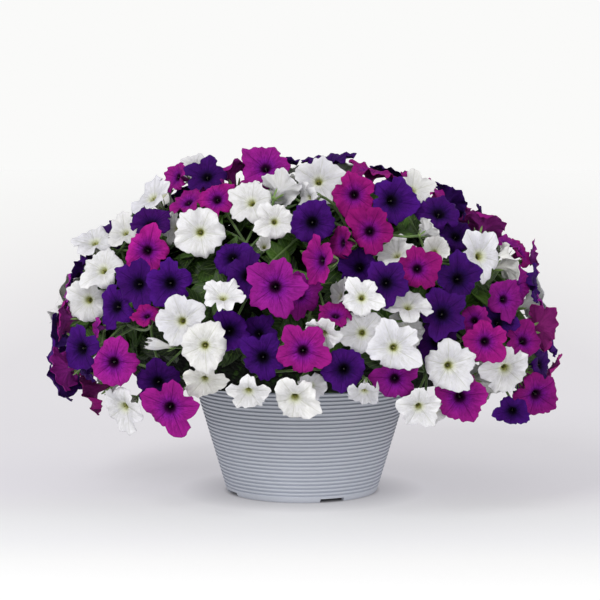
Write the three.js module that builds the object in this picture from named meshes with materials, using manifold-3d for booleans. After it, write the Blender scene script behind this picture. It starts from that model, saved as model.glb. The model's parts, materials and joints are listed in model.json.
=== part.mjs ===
// A bowl of mixed trailing petunias: a ribbed plastic bowl, its soil, the leafy crown that grows
// out of it, and sprays of white, violet and magenta blooms. Millimetres, +Z up, with the origin
// on the floor under the middle of the bowl and -Y towards the side that the bowl is seen from.
import * as THREE from 'three';
import Module from 'manifold-3d';
import { mergeVertices } from 'three/addons/utils/BufferGeometryUtils.js';

const wasm = await Module();
wasm.setup();

// ---- driving dimensions ---------------------------------------------------------------------

const RIM_RADIUS = 152.5;         // a 12-inch bowl
const BOWL_HEIGHT = 187;
const FOOT_RADIUS = 97;
const WALL = 3.6;
const FOOT_BAND = 8;              // plain band under the ribs
const RIM_BAND = 6;               // plain band over the ribs
const RIB_COUNT = 35;
const RIB_DEPTH = 1.5;
const BOWL_SIDES = 20;
const FOOT_WIDTH = 7;             // of the ring that the bowl stands on
const FLOOR_RISE = 4;             // of the floor plate over the ground
const FLOOR_THICKNESS = 3;
const NOTCH_WIDTH = 32;           // drain notches in the foot ring
const NOTCH_HEIGHT = 4.6;
const NOTCH_AZIMUTHS = [-67, 23, 113, 203];
const HOLE_SIDES = 8;
const DRAIN_RADIUS = 5;
const DRAIN_REACH = 78;

const GAP = 0.3;                  // between pieces that touch
const SOIL_TOP = 168;
const SOIL_CROWN = 4;             // fall of its surface towards the wall
const PLANT_STEMS = 5;            // main stems, each standing in a hole in the soil
const PLANT_STEM_RADIUS = 7;
const PLANT_STEM_SIDES = 6;
const PLANT_STEM_RING = 72;
const PLANT_STEM_DEPTH = 26;

const MOUND_CENTRE = new THREE.Vector3(0, 0, 175);
const MOUND_REACH = new THREE.Vector3(334, 290, 268);     // half width, half depth, height above
const MOUND_DROP = 155;           // of the mound under its centre
const CROWN_SIDES = 14;

const TUBE_LENGTH = 0.95;         // of a bloom, as a share of its radius
const PETAL_THICKNESS = 1.2;
const NOTCH_REACH = 0.87;         // of the notches between its lobes, as a share of its radius
const THROAT_REACH = 0.16;
const THROAT_DEPTH = 0.25;
const WELL_DEPTH = 0.5;           // of the point deep in the throat
const TUBE_START = 0.42;
const TIP_DROP = -0.07;
const NOTCH_LIFT = 0.02;
const STALK_RADIUS = 1.7;
const FORK_RADIUS = 2.4;
const STALK_TURN = 5;             // left free behind each tube
const CLEARANCE = 0.35;           // kept between one spray and the next
const SINK_STEP = 4;
const SINK_STEPS = 14;
const SIZE_STEPS = [1, 0.85, 0.7];
const SPRAY_SIZE = 5;
const SPRAY_REACH = 100;          // from the fork of a spray to its furthest bloom
const SPRAY_CHOICES = 12;         // nearest blooms of its colour that a spray may take in
const LEAST_SLANT = 0.45;         // of a fork from the face of the core that it leaves
const LONE_SLANT = 0.3;
const LEAST_BEND = -0.1;          // cosine of the bend of a stalk at its tube
const LONE_BEND = -0.2;
const LEAST_SPREAD = 0.2;         // of a stalk from the face of the fork that it leaves
const HEART_SHARE = 0.68;         // where the stems seem to come from, across and up
const HEART_LOW = 168;
const HEART_HIGH = 290;

const FAR_PLACES = 146;           // places spread over the whole mound, kept where none is near
const FAR_SPACING = 47;
const FAR_DROP = 0.42;            // how far under its middle they go, as a share of the drop
const FAR_FRONT = -60;            // y of the foremost
const FAR_REACH = new THREE.Vector3(324, 290, 254);       // as MOUND_REACH
const FAR_TILT = 0.7;
const FAR_DIAMETER = 71;
const FAR_SPREAD = 12;
const LEAF_TRIES = 900;
const LEAF_COUNT = 64;
const LEAF_LENGTH = 68;
const LEAF_WIDTH = 34;
const LEAF_THICKNESS = 0.9;
const LEAF_DROOP = 12;            // fall of its tip
const LEAF_ROOT = 4;              // length of its root inside the crown's core
const ROOT_VOLUME = 45;           // the most of a leaf that may lie inside the core, in mm3
const LEAF_SPREAD = new THREE.Vector3(1, 0.87, 0.7);      // of the directions they grow in
const LEAF_SPREAD_DOWN = 0.35;
const LEAF_MIDDLE = 205;
const LEAF_LEAN = 0.7;            // of a leaf away from the core's surface
const LEAF_LEAN_SPREAD = 0.5;
const LEAF_SIZE_SPREAD = 0.2;

// How the mound was read: each bloom's place is given where it appears in a 600 x 600 picture
// taken from in front, 2.4 m away and a little above.
const PICTURE_AXIS_PX = 302;      // column of the bowl's axis
const PICTURE_FOOT_PY = 489;      // row of the middle of its foot
const PICTURE_MIDDLE = 300;
const MM_PER_PX = 1.3;            // at the bowl's axis
const VIEW_DISTANCE = 2400;
const VIEW_FALL = THREE.MathUtils.degToRad(10.4);         // of the line to the foot

const WHITE = 'white';
const VIOLET = 'violet';
const MAGENTA = 'magenta';

const FINISH = {
  bowl: { color: 0xaab0bb, roughness: 0.62, metalness: 0 },
  soil: { color: 0x33241a, roughness: 0.95, metalness: 0 },
  leaf: { color: 0x3f5a26, roughness: 0.6, metalness: 0 },
  [WHITE]: { color: 0xf1f0f4, roughness: 0.6, metalness: 0 },
  [VIOLET]: { color: 0x3f1285, roughness: 0.6, metalness: 0 },
  [MAGENTA]: { color: 0xa11a96, roughness: 0.6, metalness: 0 },
};

// Each bloom that shows: colour, picture place of its middle (px, py), its diameter, where it
// faces (azimuth, 0 to the front and 90 to the right, then elevation) and how far it has opened.
const SEEN_BLOOMS = [
  [MAGENTA, 275, 287, 70, -2, 3], [WHITE, 199, 232, 64, -5, 5], [WHITE, 204, 346, 64, -3, 2],
  [MAGENTA, 303, 351, 62, 0, 2], [VIOLET, 344, 370, 56, 0, -2], [WHITE, 395, 348, 64, 5, 3],
  [MAGENTA, 354, 194, 58, -3, 8], [MAGENTA, 418, 269, 55, 3, 3], [WHITE, 450, 366, 66, 5, 3],
  [MAGENTA, 461, 399, 66, 5, -8], [MAGENTA, 169, 409, 68, -3, -5], [MAGENTA, 112, 363, 64, -8, 0],
  [VIOLET, 263, 358, 58, 0, 0], [VIOLET, 312, 222, 60, -3, 5], [WHITE, 483, 255, 62, 25, 12],
  [WHITE, 295, 402, 62, 0, -25], [MAGENTA, 539, 397, 64, 20, -15], [WHITE, 507, 371, 62, 10, -15],
  [MAGENTA, 486, 342, 54, 5, 2], [VIOLET, 169, 283, 58, -8, 5], [WHITE, 249, 200, 58, -20, 25],
  [WHITE, 318, 179, 62, -5, 20], [MAGENTA, 265, 165, 62, -5, 30], [MAGENTA, 370, 231, 60, 0, 5],
  [VIOLET, 395, 200, 62, 28, 8], [VIOLET, 387, 283, 54, 5, 5], [WHITE, 362, 333, 54, -3, 5],
  [VIOLET, 229, 331, 66, 0, 5], [WHITE, 180, 321, 62, -10, 5], [MAGENTA, 316, 261, 58, -55, 0],
  [VIOLET, 460, 279, 60, 15, 5], [WHITE, 100, 267, 60, -25, 30], [WHITE, 86, 300, 60, -15, 5],
  [MAGENTA, 146, 250, 58, -8, 8], [WHITE, 120, 410, 62, -35, -20], [WHITE, 275, 221, 50, 5, 10],
  [WHITE, 362, 297, 52, 0, 12], [WHITE, 409, 302, 58, 10, 50], [MAGENTA, 216, 198, 52, -10, 20],
  [VIOLET, 440, 210, 60, 10, 40], [WHITE, 395, 251, 52, -30, 50], [WHITE, 420, 409, 52, 8, -15],
  [WHITE, 248, 395, 50, -5, -35], [WHITE, 204, 383, 52, -5, -30], [WHITE, 364, 396, 46, -10, -50],
  [MAGENTA, 526, 339, 54, 25, 25], [MAGENTA, 506, 299, 50, 20, 8], [WHITE, 512, 264, 58, 110, 10],
  [WHITE, 93, 238, 56, -20, 50], [WHITE, 123, 229, 52, -25, 40], [WHITE, 149, 194, 58, -45, 42],
  [MAGENTA, 174, 176, 46, -55, 15], [MAGENTA, 186, 199, 50, -35, 45], [VIOLET, 206, 174, 54, -10, 35],
  [WHITE, 416, 187, 52, 25, 30], [VIOLET, 136, 284, 60, -20, 5], [MAGENTA, 336, 312, 52, 5, 55],
  [WHITE, 223, 293, 52, 0, 55], [WHITE, 435, 251, 44, 0, 15, 0.8], [MAGENTA, 338, 243, 56, -60, 5],
  [VIOLET, 458, 234, 52, 25, 35], [MAGENTA, 303, 295, 54, 25, 5], [MAGENTA, 395, 380, 58, 0, -5],
  [VIOLET, 157, 383, 60, -5, 0], [VIOLET, 78, 349, 60, -35, 0], [VIOLET, 246, 274, 58, -10, 20],
  [VIOLET, 351, 186, 54, 0, 32], [WHITE, 408, 329, 48, 20, 12], [WHITE, 322, 336, 46, -20, -25],
  [VIOLET, 258, 331, 46, -10, 30], [VIOLET, 150, 220, 54, -10, 50], [VIOLET, 113, 306, 58, -35, 10],
  [VIOLET, 443, 313, 60, 5, 15], [VIOLET, 436, 342, 58, 0, 0], [VIOLET, 358, 266, 52, -15, 20],
  [VIOLET, 231, 256, 50, -15, 25], [WHITE, 336, 295, 44, -70, 20], [MAGENTA, 60, 370, 60, -110, -15],
  [MAGENTA, 60, 318, 52, -95, 0], [VIOLET, 75, 266, 42, -95, 20], [MAGENTA, 66, 290, 50, -85, 5],
  [VIOLET, 84, 374, 44, -60, -40], [MAGENTA, 95, 328, 46, -75, 0], [MAGENTA, 486, 221, 58, 150, 45],
  [MAGENTA, 508, 240, 42, 60, 60], [MAGENTA, 524, 251, 46, 70, 30], [MAGENTA, 537, 259, 46, 88, 10],
  [MAGENTA, 522, 286, 58, 60, 5], [VIOLET, 538, 285, 54, 75, 5], [MAGENTA, 547, 309, 42, 85, 30],
  [MAGENTA, 544, 326, 60, 130, 5], [VIOLET, 499, 320, 50, 10, 30], [MAGENTA, 474, 319, 44, -10, 20],
  [VIOLET, 512, 413, 44, -10, -20], [VIOLET, 544, 364, 46, 60, 10], [WHITE, 283, 188, 50, 150, 30],
  [WHITE, 305, 199, 42, -60, -10], [WHITE, 172, 229, 44, -50, 0], [WHITE, 193, 166, 40, -30, 30],
  [WHITE, 438, 414, 38, 40, -20], [WHITE, 430, 230, 38, 130, 20], [WHITE, 312, 388, 40, 20, -20],
  [MAGENTA, 146, 313, 38, -20, 50], [WHITE, 160, 345, 34, -80, 10, 0.35],
  [WHITE, 264, 246, 30, 0, 20, 0.6],
];

// ---- numbers and solids ---------------------------------------------------------------------

const degrees = THREE.MathUtils.degToRad;
const GOLDEN_ANGLE = Math.PI * (3 - Math.sqrt(5));

let seed = 20417;
function draw() {
  seed = (Math.imul(seed, 1664525) + 1013904223) >>> 0;
  return seed / 4294967296;
}

function facing(azimuth, elevation) {
  const a = degrees(azimuth);
  const e = degrees(elevation);
  return new THREE.Vector3(Math.sin(a) * Math.cos(e), -Math.cos(a) * Math.cos(e), Math.sin(e));
}

// Two directions across an axis, the first one level.
function across(axis) {
  const level = new THREE.Vector3(0, 0, 1).cross(axis);
  if (level.length() < 1e-6) level.set(1, 0, 0);
  level.normalize();
  return [level, axis.clone().cross(level).normalize()];
}

function ring(centre, axis, radius, count, turn = 0) {
  const [u, v] = across(axis);
  return Array.from({ length: count }, (_, k) => {
    const a = turn + (2 * Math.PI * k) / count;
    return centre.clone()
      .addScaledVector(u, radius * Math.cos(a))
      .addScaledVector(v, radius * Math.sin(a));
  });
}

function middleOf(points) {
  return points.reduce((sum, point) => sum.add(point), new THREE.Vector3())
    .divideScalar(points.length);
}

function wrapped(angle) {
  return angle - 2 * Math.PI * Math.floor(angle / (2 * Math.PI));
}

// How far round each angle of a ring lies from its first, and at last the first one again.
function turnsFrom(angles, start) {
  return angles.reduce((turns, angle, k) => {
    const next = angles[(k + 1) % angles.length];
    return [...turns, turns[k] + wrapped(next - angle)];
  }, [start]);
}

// A closed solid from rings of points, each joined to the next, with a point or a fan at each end.
class Shell {
  constructor() {
    this.points = [];
    this.faces = [];
  }

  add(points) {
    const first = this.points.length;
    this.points.push(...points);
    return points.map((_, k) => first + k);
  }

  // Joins a ring to the one behind it, corner by corner as they come round their common axis;
  // both run the same way round, and they may differ in their number of points.
  join(front, back) {
    const centre = (loop) => middleOf(loop.map((k) => this.points[k]));
    const [u, v] = across(centre(front).sub(centre(back)).normalize());
    const bearings = (loop) => loop.map((k) => {
      const spoke = this.points[k].clone().sub(centre(loop));
      return Math.atan2(spoke.dot(v), spoke.dot(u));
    });
    const ahead = bearings(front);
    const offsets = bearings(back).map((angle) => wrapped(angle - ahead[0] + Math.PI) - Math.PI);
    const least = Math.min(...offsets.map(Math.abs));
    const first = offsets.findIndex((angle) => Math.abs(angle) === least);
    const behind = back.map((_, k) => back[(k + first) % back.length]);
    const turnsAhead = turnsFrom(ahead, 0);
    const turnsBehind = turnsFrom(bearings(behind), offsets[first]);
    let i = 0;
    let j = 0;
    while (i < front.length || j < back.length) {
      const a = front[i % front.length];
      const b = behind[j % back.length];
      const lag = turnsBehind[j] + turnsBehind[j + 1] - turnsAhead[i] - turnsAhead[i + 1];
      if (j === back.length || (i < front.length && lag > -1e-6)) {
        i += 1;
        this.faces.push([a, b, front[i % front.length]]);
      } else {
        j += 1;
        this.faces.push([a, b, behind[j % back.length]]);
      }
    }
  }

  cap([a, b, c]) {
    this.faces.push([c, b, a]);
  }

  close(loop, tip, forwards) {
    loop.forEach((a, k) => {
      const b = loop[(k + 1) % loop.length];
      this.faces.push(forwards ? [a, b, tip] : [b, a, tip]);
    });
  }

  solid() {
    return new wasm.Manifold(new wasm.Mesh({
      numProp: 3,
      vertProperties: new Float32Array(this.points.flatMap((p) => p.toArray())),
      triVerts: new Uint32Array(this.faces.flat()),
    }));
  }
}

function solidOf(geometry) {
  geometry.deleteAttribute('normal');
  geometry.deleteAttribute('uv');
  const merged = mergeVertices(geometry, 1e-4);
  return new wasm.Manifold(new wasm.Mesh({
    numProp: 3,
    vertProperties: new Float32Array(merged.attributes.position.array),
    triVerts: new Uint32Array(merged.index.array),
  }));
}

function meshOf(solid, name, finish) {
  const { vertProperties, triVerts } = solid.getMesh();
  const geometry = new THREE.BufferGeometry();
  geometry.setAttribute('position', new THREE.BufferAttribute(vertProperties, 3));
  geometry.setIndex(new THREE.BufferAttribute(triVerts, 1));
  geometry.computeVertexNormals();
  const mesh = new THREE.Mesh(geometry, new THREE.MeshStandardMaterial(FINISH[finish]));
  mesh.name = name;
  return mesh;
}

function fused(solids) {
  return solids.reduce((whole, piece) => whole.add(piece));
}

function boxesMeet(a, b) {
  return [0, 1, 2].every((k) => a.min[k] <= b.max[k] && b.min[k] <= a.max[k]);
}

function meets(solid, obstacle) {
  if (!boxesMeet(solid.boundingBox(), obstacle.boundingBox())) return false;
  const shared = solid.intersect(obstacle);
  const found = !shared.isEmpty();
  shared.delete();
  return found;
}

function clearOf(solid, obstacles) {
  return obstacles.every((obstacle) => !meets(solid, obstacle));
}

// ---- bowl and soil --------------------------------------------------------------------------

function bowlRadius(z) {
  return FOOT_RADIUS + (RIM_RADIUS - FOOT_RADIUS) * (z / BOWL_HEIGHT);
}

function turned(profile, sides) {
  const points = profile.map(([radius, z]) => new THREE.Vector2(radius, z));
  const geometry = new THREE.LatheGeometry(points, sides);
  return solidOf(geometry.rotateX(Math.PI / 2));
}

function upright(radius, bottom, top, x, y, sides) {
  const geometry = new THREE.CylinderGeometry(radius, radius, top - bottom, sides);
  geometry.rotateX(Math.PI / 2).translate(x, y, (top + bottom) / 2);
  return solidOf(geometry);
}

function bowlSolid() {
  const floorTop = FLOOR_RISE + FLOOR_THICKNESS;
  const ribTop = BOWL_HEIGHT - RIM_BAND;
  const pitch = (ribTop - FOOT_BAND) / RIB_COUNT;
  const profile = [
    [0, FLOOR_RISE], [FOOT_RADIUS - FOOT_WIDTH, FLOOR_RISE], [FOOT_RADIUS - FOOT_WIDTH, 0],
    [FOOT_RADIUS, 0], [bowlRadius(FOOT_BAND), FOOT_BAND],
  ];
  for (let rib = 0; rib < RIB_COUNT; rib += 1) {
    const valley = FOOT_BAND + (rib + 0.3) * pitch;
    const crest = FOOT_BAND + (rib + 0.75) * pitch;
    profile.push([bowlRadius(valley) - RIB_DEPTH, valley], [bowlRadius(crest), crest]);
  }
  profile.push(
    [RIM_RADIUS, BOWL_HEIGHT], [RIM_RADIUS - WALL, BOWL_HEIGHT],
    [bowlRadius(floorTop) - WALL, floorTop], [0, floorTop],
  );
  let bowl = turned(profile, BOWL_SIDES);
  NOTCH_AZIMUTHS.forEach((azimuth) => {
    const out = facing(azimuth, 0);
    const turn = Math.atan2(out.y, out.x);
    const notch = new THREE.BoxGeometry(FOOT_WIDTH + 12, NOTCH_WIDTH, 2 * NOTCH_HEIGHT);
    notch.translate(FOOT_RADIUS - 2, 0, 0).rotateZ(turn);
    bowl = bowl.subtract(solidOf(notch));
    const drain = upright(
      DRAIN_RADIUS, 0, floorTop + 1, DRAIN_REACH * out.x, DRAIN_REACH * out.y, HOLE_SIDES,
    );
    bowl = bowl.subtract(drain);
  });
  return bowl;
}

function plantStemPlaces() {
  return Array.from({ length: PLANT_STEMS }, (_, k) => {
    const a = (2 * Math.PI * (k + 0.25)) / PLANT_STEMS;
    return [PLANT_STEM_RING * Math.cos(a), PLANT_STEM_RING * Math.sin(a)];
  });
}

function soilSolid() {
  const bottom = FLOOR_RISE + FLOOR_THICKNESS + GAP;
  const edge = SOIL_TOP - SOIL_CROWN;
  const reach = (z) => bowlRadius(z) - WALL - 2 * GAP;
  let soil = turned([
    [0, bottom], [reach(bottom), bottom], [reach(edge), edge], [reach(edge) - 20, SOIL_TOP],
    [0, SOIL_TOP],
  ], BOWL_SIDES);
  plantStemPlaces().forEach(([x, y]) => {
    const hole = upright(
      (PLANT_STEM_RADIUS + GAP) / Math.cos(Math.PI / HOLE_SIDES), SOIL_TOP - PLANT_STEM_DEPTH,
      SOIL_TOP + 5, x, y, HOLE_SIDES,
    );
    soil = soil.subtract(hole);
  });
  return soil;
}

// ---- the leafy crown ------------------------------------------------------------------------

// Rings of the crown's core: half width, half depth, height. It spreads over the rim and hangs
// a little way down outside it, clear of the bowl.
const CROWN_RINGS = [
  [126, 126, 178], [130, 130, 204], [178, 168, 201], [200, 176, 140],
  [236, 204, 138], [262, 224, 190], [250, 214, 256], [204, 174, 316], [116, 98, 350],
];
const CROWN_TOP = 362;

function crownCore() {
  const shell = new Shell();
  const loops = CROWN_RINGS.map(([halfWidth, halfDepth, z]) => shell.add(
    Array.from({ length: CROWN_SIDES }, (_, k) => {
      const a = (2 * Math.PI * k) / CROWN_SIDES;
      return new THREE.Vector3(halfWidth * Math.cos(a), halfDepth * Math.sin(a), z);
    }),
  ));
  const [bottom] = shell.add([new THREE.Vector3(0, 0, CROWN_RINGS[0][2])]);
  const [top] = shell.add([new THREE.Vector3(0, 0, CROWN_TOP)]);
  loops.slice(1).forEach((loop, k) => shell.join(loop, loops[k]));
  shell.close(loops[0], bottom, false);
  shell.close(loops[loops.length - 1], top, true);
  return shell;
}

const coreShell = crownCore();
const coreSolid = coreShell.solid();
const coreTarget = meshOf(coreSolid, 'core', 'leaf');
const caster = new THREE.Raycaster();
const OUTSIDE = 450;              // far enough from inside the core to be outside the mound

// Where a line from outside first meets the core.
function coreHit(from, towards) {
  caster.set(from, towards.clone().sub(from).normalize());
  const [hit] = caster.intersectObject(coreTarget);
  return hit ? { point: hit.point, normal: hit.face.normal } : null;
}

// A point well inside the core, on the way in from a place on the mound.
function heartOf(place) {
  return new THREE.Vector3(
    HEART_SHARE * place.x, HEART_SHARE * place.y,
    THREE.MathUtils.clamp(place.z, HEART_LOW, HEART_HIGH),
  );
}

// ---- places on the mound --------------------------------------------------------------------

function moundScale(place) {
  const height = place.z > MOUND_CENTRE.z ? MOUND_REACH.z : MOUND_DROP;
  return new THREE.Vector3(
    place.x / MOUND_REACH.x, place.y / MOUND_REACH.y, (place.z - MOUND_CENTRE.z) / height,
  );
}

const EYE = new THREE.Vector3(
  (PICTURE_MIDDLE - PICTURE_AXIS_PX) * MM_PER_PX,
  -VIEW_DISTANCE * Math.cos(VIEW_FALL),
  VIEW_DISTANCE * Math.sin(VIEW_FALL),
);
const FOCAL_PX = VIEW_DISTANCE / MM_PER_PX;
const VIEW_PITCH = VIEW_FALL - Math.atan((PICTURE_FOOT_PY - PICTURE_MIDDLE) / FOCAL_PX);

function sightLine(px, py) {
  const right = (px - PICTURE_MIDDLE) / FOCAL_PX;
  const up = (PICTURE_MIDDLE - py) / FOCAL_PX;
  return new THREE.Vector3(
    right,
    Math.cos(VIEW_PITCH) + up * Math.sin(VIEW_PITCH),
    up * Math.cos(VIEW_PITCH) - Math.sin(VIEW_PITCH),
  ).normalize();
}

// Where a sight line first reaches the mound, or passes nearest to it.
function onMound(line) {
  const at = (t) => EYE.clone().addScaledVector(line, t);
  let nearest = VIEW_DISTANCE - 1.2 * MOUND_REACH.y;
  let least = Infinity;
  for (let t = nearest; t < VIEW_DISTANCE + MOUND_REACH.y; t += 2) {
    const reach = moundScale(at(t)).length();
    if (reach < 1) return at(t);
    if (reach < least) {
      least = reach;
      nearest = t;
    }
  }
  return at(nearest);
}

// ---- blooms ---------------------------------------------------------------------------------

const LOBES = 5;

// A trumpet: a five-lobed limb, its throat, and the tube behind it, left open at its end.
function addTrumpet(shell, bloom, spare = 0) {
  const { place, normal, radius, open, turn } = bloom;
  const [u, v] = across(normal);
  const lift = radius * Math.sqrt(1 - open * open);
  const at = (r, angle, z) => place.clone()
    .addScaledVector(u, r * Math.cos(turn + angle))
    .addScaledVector(v, r * Math.sin(turn + angle))
    .addScaledVector(normal, z);
  const spoke = (r, k, z) => at(r, (Math.PI * k) / LOBES, z);
  const edge = lift + spare;
  const face = shell.add(Array.from({ length: 2 * LOBES }, (_, k) => (
    k % 2 === 0
      ? spoke(radius * open + spare, k, edge + TIP_DROP * radius)
      : spoke(NOTCH_REACH * radius * open + spare, k, edge + NOTCH_LIFT * radius)
  )));
  const round = (r, z) => shell.add(Array.from({ length: LOBES }, (_, k) => spoke(r, 2 * k, z)));
  const back = round(
    radius * open + spare, lift + TIP_DROP * radius - PETAL_THICKNESS - spare,
  );
  const throat = round(THROAT_REACH * radius, -THROAT_DEPTH * radius + spare);
  const tube = round((THROAT_REACH + 0.01) * radius + spare, -TUBE_START * radius);
  const [well] = shell.add([at(0, 0, -WELL_DEPTH * radius)]);
  for (let k = 0; k < LOBES; k += 1) {
    const tip = face[2 * k];
    const notch = face[2 * k + 1];
    const nextTip = face[(2 * k + 2) % face.length];
    const near = throat[k];
    const next = throat[(k + 1) % LOBES];
    shell.faces.push([tip, notch, near], [notch, next, near], [notch, nextTip, next]);
  }
  shell.close(throat, well, true);
  shell.join(face, back);
  shell.join(back, tube);
  return tube;
}

function tubeEnd(bloom) {
  return bloom.place.clone().addScaledVector(bloom.normal, -TUBE_LENGTH * bloom.radius);
}

// The trumpet alone, with the end of its tube closed, and with a spur there to keep room for its
// stalk to turn.
function trumpetSolid(bloom, spare = 0, spur = 0) {
  const shell = new Shell();
  const tube = addTrumpet(shell, bloom, spare);
  const end = tubeEnd(bloom).addScaledVector(bloom.normal, -spur);
  const neck = shell.add(ring(end, bloom.normal, STALK_RADIUS + spare, 3));
  shell.join(tube, neck);
  shell.cap(neck);
  return shell.solid();
}

function newBloom(index, hue, place, diameter, normal, open, sight) {
  return { hue, place, normal, open, sight, radius: diameter / 2, turn: index * GOLDEN_ANGLE };
}

function seenBlooms() {
  return SEEN_BLOOMS.map(([hue, px, py, diameter, azimuth, elevation, open = 1], index) => {
    const sight = sightLine(px, py);
    return newBloom(index, hue, onMound(sight), diameter, facing(azimuth, elevation), open, sight);
  });
}

// The blooms of the far side, spread evenly over the mound and kept clear of those that show.
function farBlooms(seen) {
  const blooms = [];
  for (let k = 0; k < FAR_PLACES; k += 1) {
    const height = 1 - ((1 + FAR_DROP) * (k + 0.5)) / FAR_PLACES;
    const level = Math.sqrt(1 - height * height);
    const a = k * GOLDEN_ANGLE;
    const rise = height > 0 ? FAR_REACH.z : MOUND_DROP;
    const place = new THREE.Vector3(
      FAR_REACH.x * level * Math.cos(a), FAR_REACH.y * level * Math.sin(a),
      MOUND_CENTRE.z + rise * height,
    );
    const normal = new THREE.Vector3(
      place.x / FAR_REACH.x ** 2, place.y / FAR_REACH.y ** 2, height / rise,
    ).normalize();
    const tilt = new THREE.Vector3(draw() - 0.5, draw() - 0.5, draw() - 0.35);
    normal.addScaledVector(tilt, FAR_TILT).normalize();
    const diameter = FAR_DIAMETER + FAR_SPREAD * (draw() - 0.5);
    const pick = draw();
    const hue = [WHITE, VIOLET, MAGENTA][Math.floor(3 * pick)];
    const free = seen.every((other) => other.place.distanceTo(place) > FAR_SPACING);
    if (free && place.y > FAR_FRONT) {
      const index = SEEN_BLOOMS.length + blooms.length;
      blooms.push(newBloom(index, hue, place, diameter, normal, 1, normal.clone().negate()));
    }
  }
  return blooms;
}

// Each bloom in turn is sunk into the mound, along the line that it is seen by, until it is clear
// of those before it, made smaller if that finds no room, and left out if nothing does.
function settle(blooms) {
  const settled = [];
  const places = SIZE_STEPS.flatMap((size) => (
    Array.from({ length: SINK_STEPS }, (_, step) => [size, SINK_STEP * step])
  ));
  blooms.forEach((bloom) => {
    const obstacles = [coreSolid, ...settled.map((other) => other.spurred)];
    places.some(([size, sink]) => {
      const trial = {
        ...bloom,
        radius: bloom.radius * size,
        place: bloom.place.clone().addScaledVector(bloom.sight, sink),
      };
      const room = trumpetSolid(trial, CLEARANCE, STALK_TURN);
      const free = clearOf(room, obstacles);
      room.delete();
      if (free) {
        settled.push({
          ...trial, body: trumpetSolid(trial), spurred: trumpetSolid(trial, 0, STALK_TURN),
        });
      }
      return free;
    });
  });
  return settled;
}

// ---- sprays ---------------------------------------------------------------------------------

const FORK_HEIGHTS = [10, 18, 28, 5, 40];

// Offsets to try one after another: none, then rings of them, further and further out.
function shifts(reaches, count) {
  const rings = reaches.flatMap((reach) => Array.from({ length: count }, (_, k) => {
    const a = (2 * Math.PI * k) / count;
    return [reach * Math.cos(a), reach * Math.sin(a)];
  }));
  return [[0, 0], ...rings];
}

const FORK_SHIFTS = shifts([14, 26, 40], 8);
const SEAT_SHIFTS = shifts([14, 30, 50, 75, 105, 140], 12);

// The fork of a spray: a short stem that ends in a low pyramid, with one face for each stalk.
// The corners between two faces lie midway between the stalks that leave by them.
function addFork(shell, members, fork, seat) {
  const away = fork.clone().sub(seat.point).normalize();
  const [u, v] = across(away);
  const bearing = (bloom) => {
    const line = tubeEnd(bloom).sub(fork);
    return Math.atan2(line.dot(v), line.dot(u));
  };
  const stalks = members.map((bloom) => ({ bloom, angle: bearing(bloom) }))
    .sort((a, b) => a.angle - b.angle);
  while (stalks.length < 3) {
    const gaps = stalks.map((stalk, k) => {
      const next = k + 1 < stalks.length ? stalks[k + 1].angle : stalks[0].angle + 2 * Math.PI;
      return next - stalk.angle;
    });
    const widest = gaps.indexOf(Math.max(...gaps));
    stalks.splice(widest + 1, 0, {
      bloom: null, angle: stalks[widest].angle + gaps[widest] / 2,
    });
  }
  const corners = stalks.map(({ angle }, k) => {
    const before = k > 0 ? stalks[k - 1].angle : stalks[stalks.length - 1].angle - 2 * Math.PI;
    const turn = (angle + before) / 2;
    return fork.clone()
      .addScaledVector(u, FORK_RADIUS * Math.cos(turn))
      .addScaledVector(v, FORK_RADIUS * Math.sin(turn));
  });
  const feet = corners.map((corner) => {
    const depth = corner.clone().sub(seat.point).dot(seat.normal) - CLEARANCE;
    return corner.clone().addScaledVector(away, -depth / away.dot(seat.normal));
  });
  const upper = shell.add(corners);
  const lower = shell.add(feet);
  const [tip] = shell.add([fork.clone().addScaledVector(away, FORK_RADIUS)]);
  upper.forEach((a, k) => {
    const b = upper[(k + 1) % upper.length];
    const c = lower[k];
    const d = lower[(k + 1) % lower.length];
    shell.faces.push([a, c, b], [b, c, d]);
  });
  lower.slice(2).forEach((corner, k) => shell.faces.push([lower[0], corner, lower[k + 1]]));
  return stalks.map(({ bloom }, k) => ({
    bloom, face: [upper[k], upper[(k + 1) % upper.length], tip],
  }));
}

// The ring at the end of a tube that matches, corner for corner, the face its stalk comes from.
function neckRing(shell, bloom, face) {
  const corners = face.map((k) => shell.points[k]);
  const middle = corners[0].clone().add(corners[1]).add(corners[2]).divideScalar(3);
  const end = tubeEnd(bloom);
  const axis = end.clone().sub(middle).normalize().add(bloom.normal).normalize();
  return corners.map((corner) => {
    const spoke = corner.clone().sub(middle);
    spoke.addScaledVector(axis, -spoke.dot(axis)).normalize();
    return end.clone().addScaledVector(spoke, STALK_RADIUS);
  });
}

function addStalk(shell, neck, face) {
  neck.forEach((a, k) => {
    const b = neck[(k + 1) % 3];
    shell.faces.push([a, face[k], b], [b, face[k], face[(k + 1) % 3]]);
  });
}

// A rod round one stalk, a little thick, that the other pieces must stay clear of.
function stalkRoom(start, end, endRadius = STALK_RADIUS) {
  const room = new Shell();
  const axis = end.clone().sub(start).normalize();
  const near = room.add(ring(end, axis, endRadius + 2 * CLEARANCE, 4));
  const far = room.add(ring(start, axis, FORK_RADIUS + CLEARANCE, 4));
  room.join(near, far);
  room.faces.push([near[0], near[1], near[2]], [near[0], near[2], near[3]]);
  room.faces.push([far[2], far[1], far[0]], [far[3], far[2], far[0]]);
  return room.solid();
}

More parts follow.
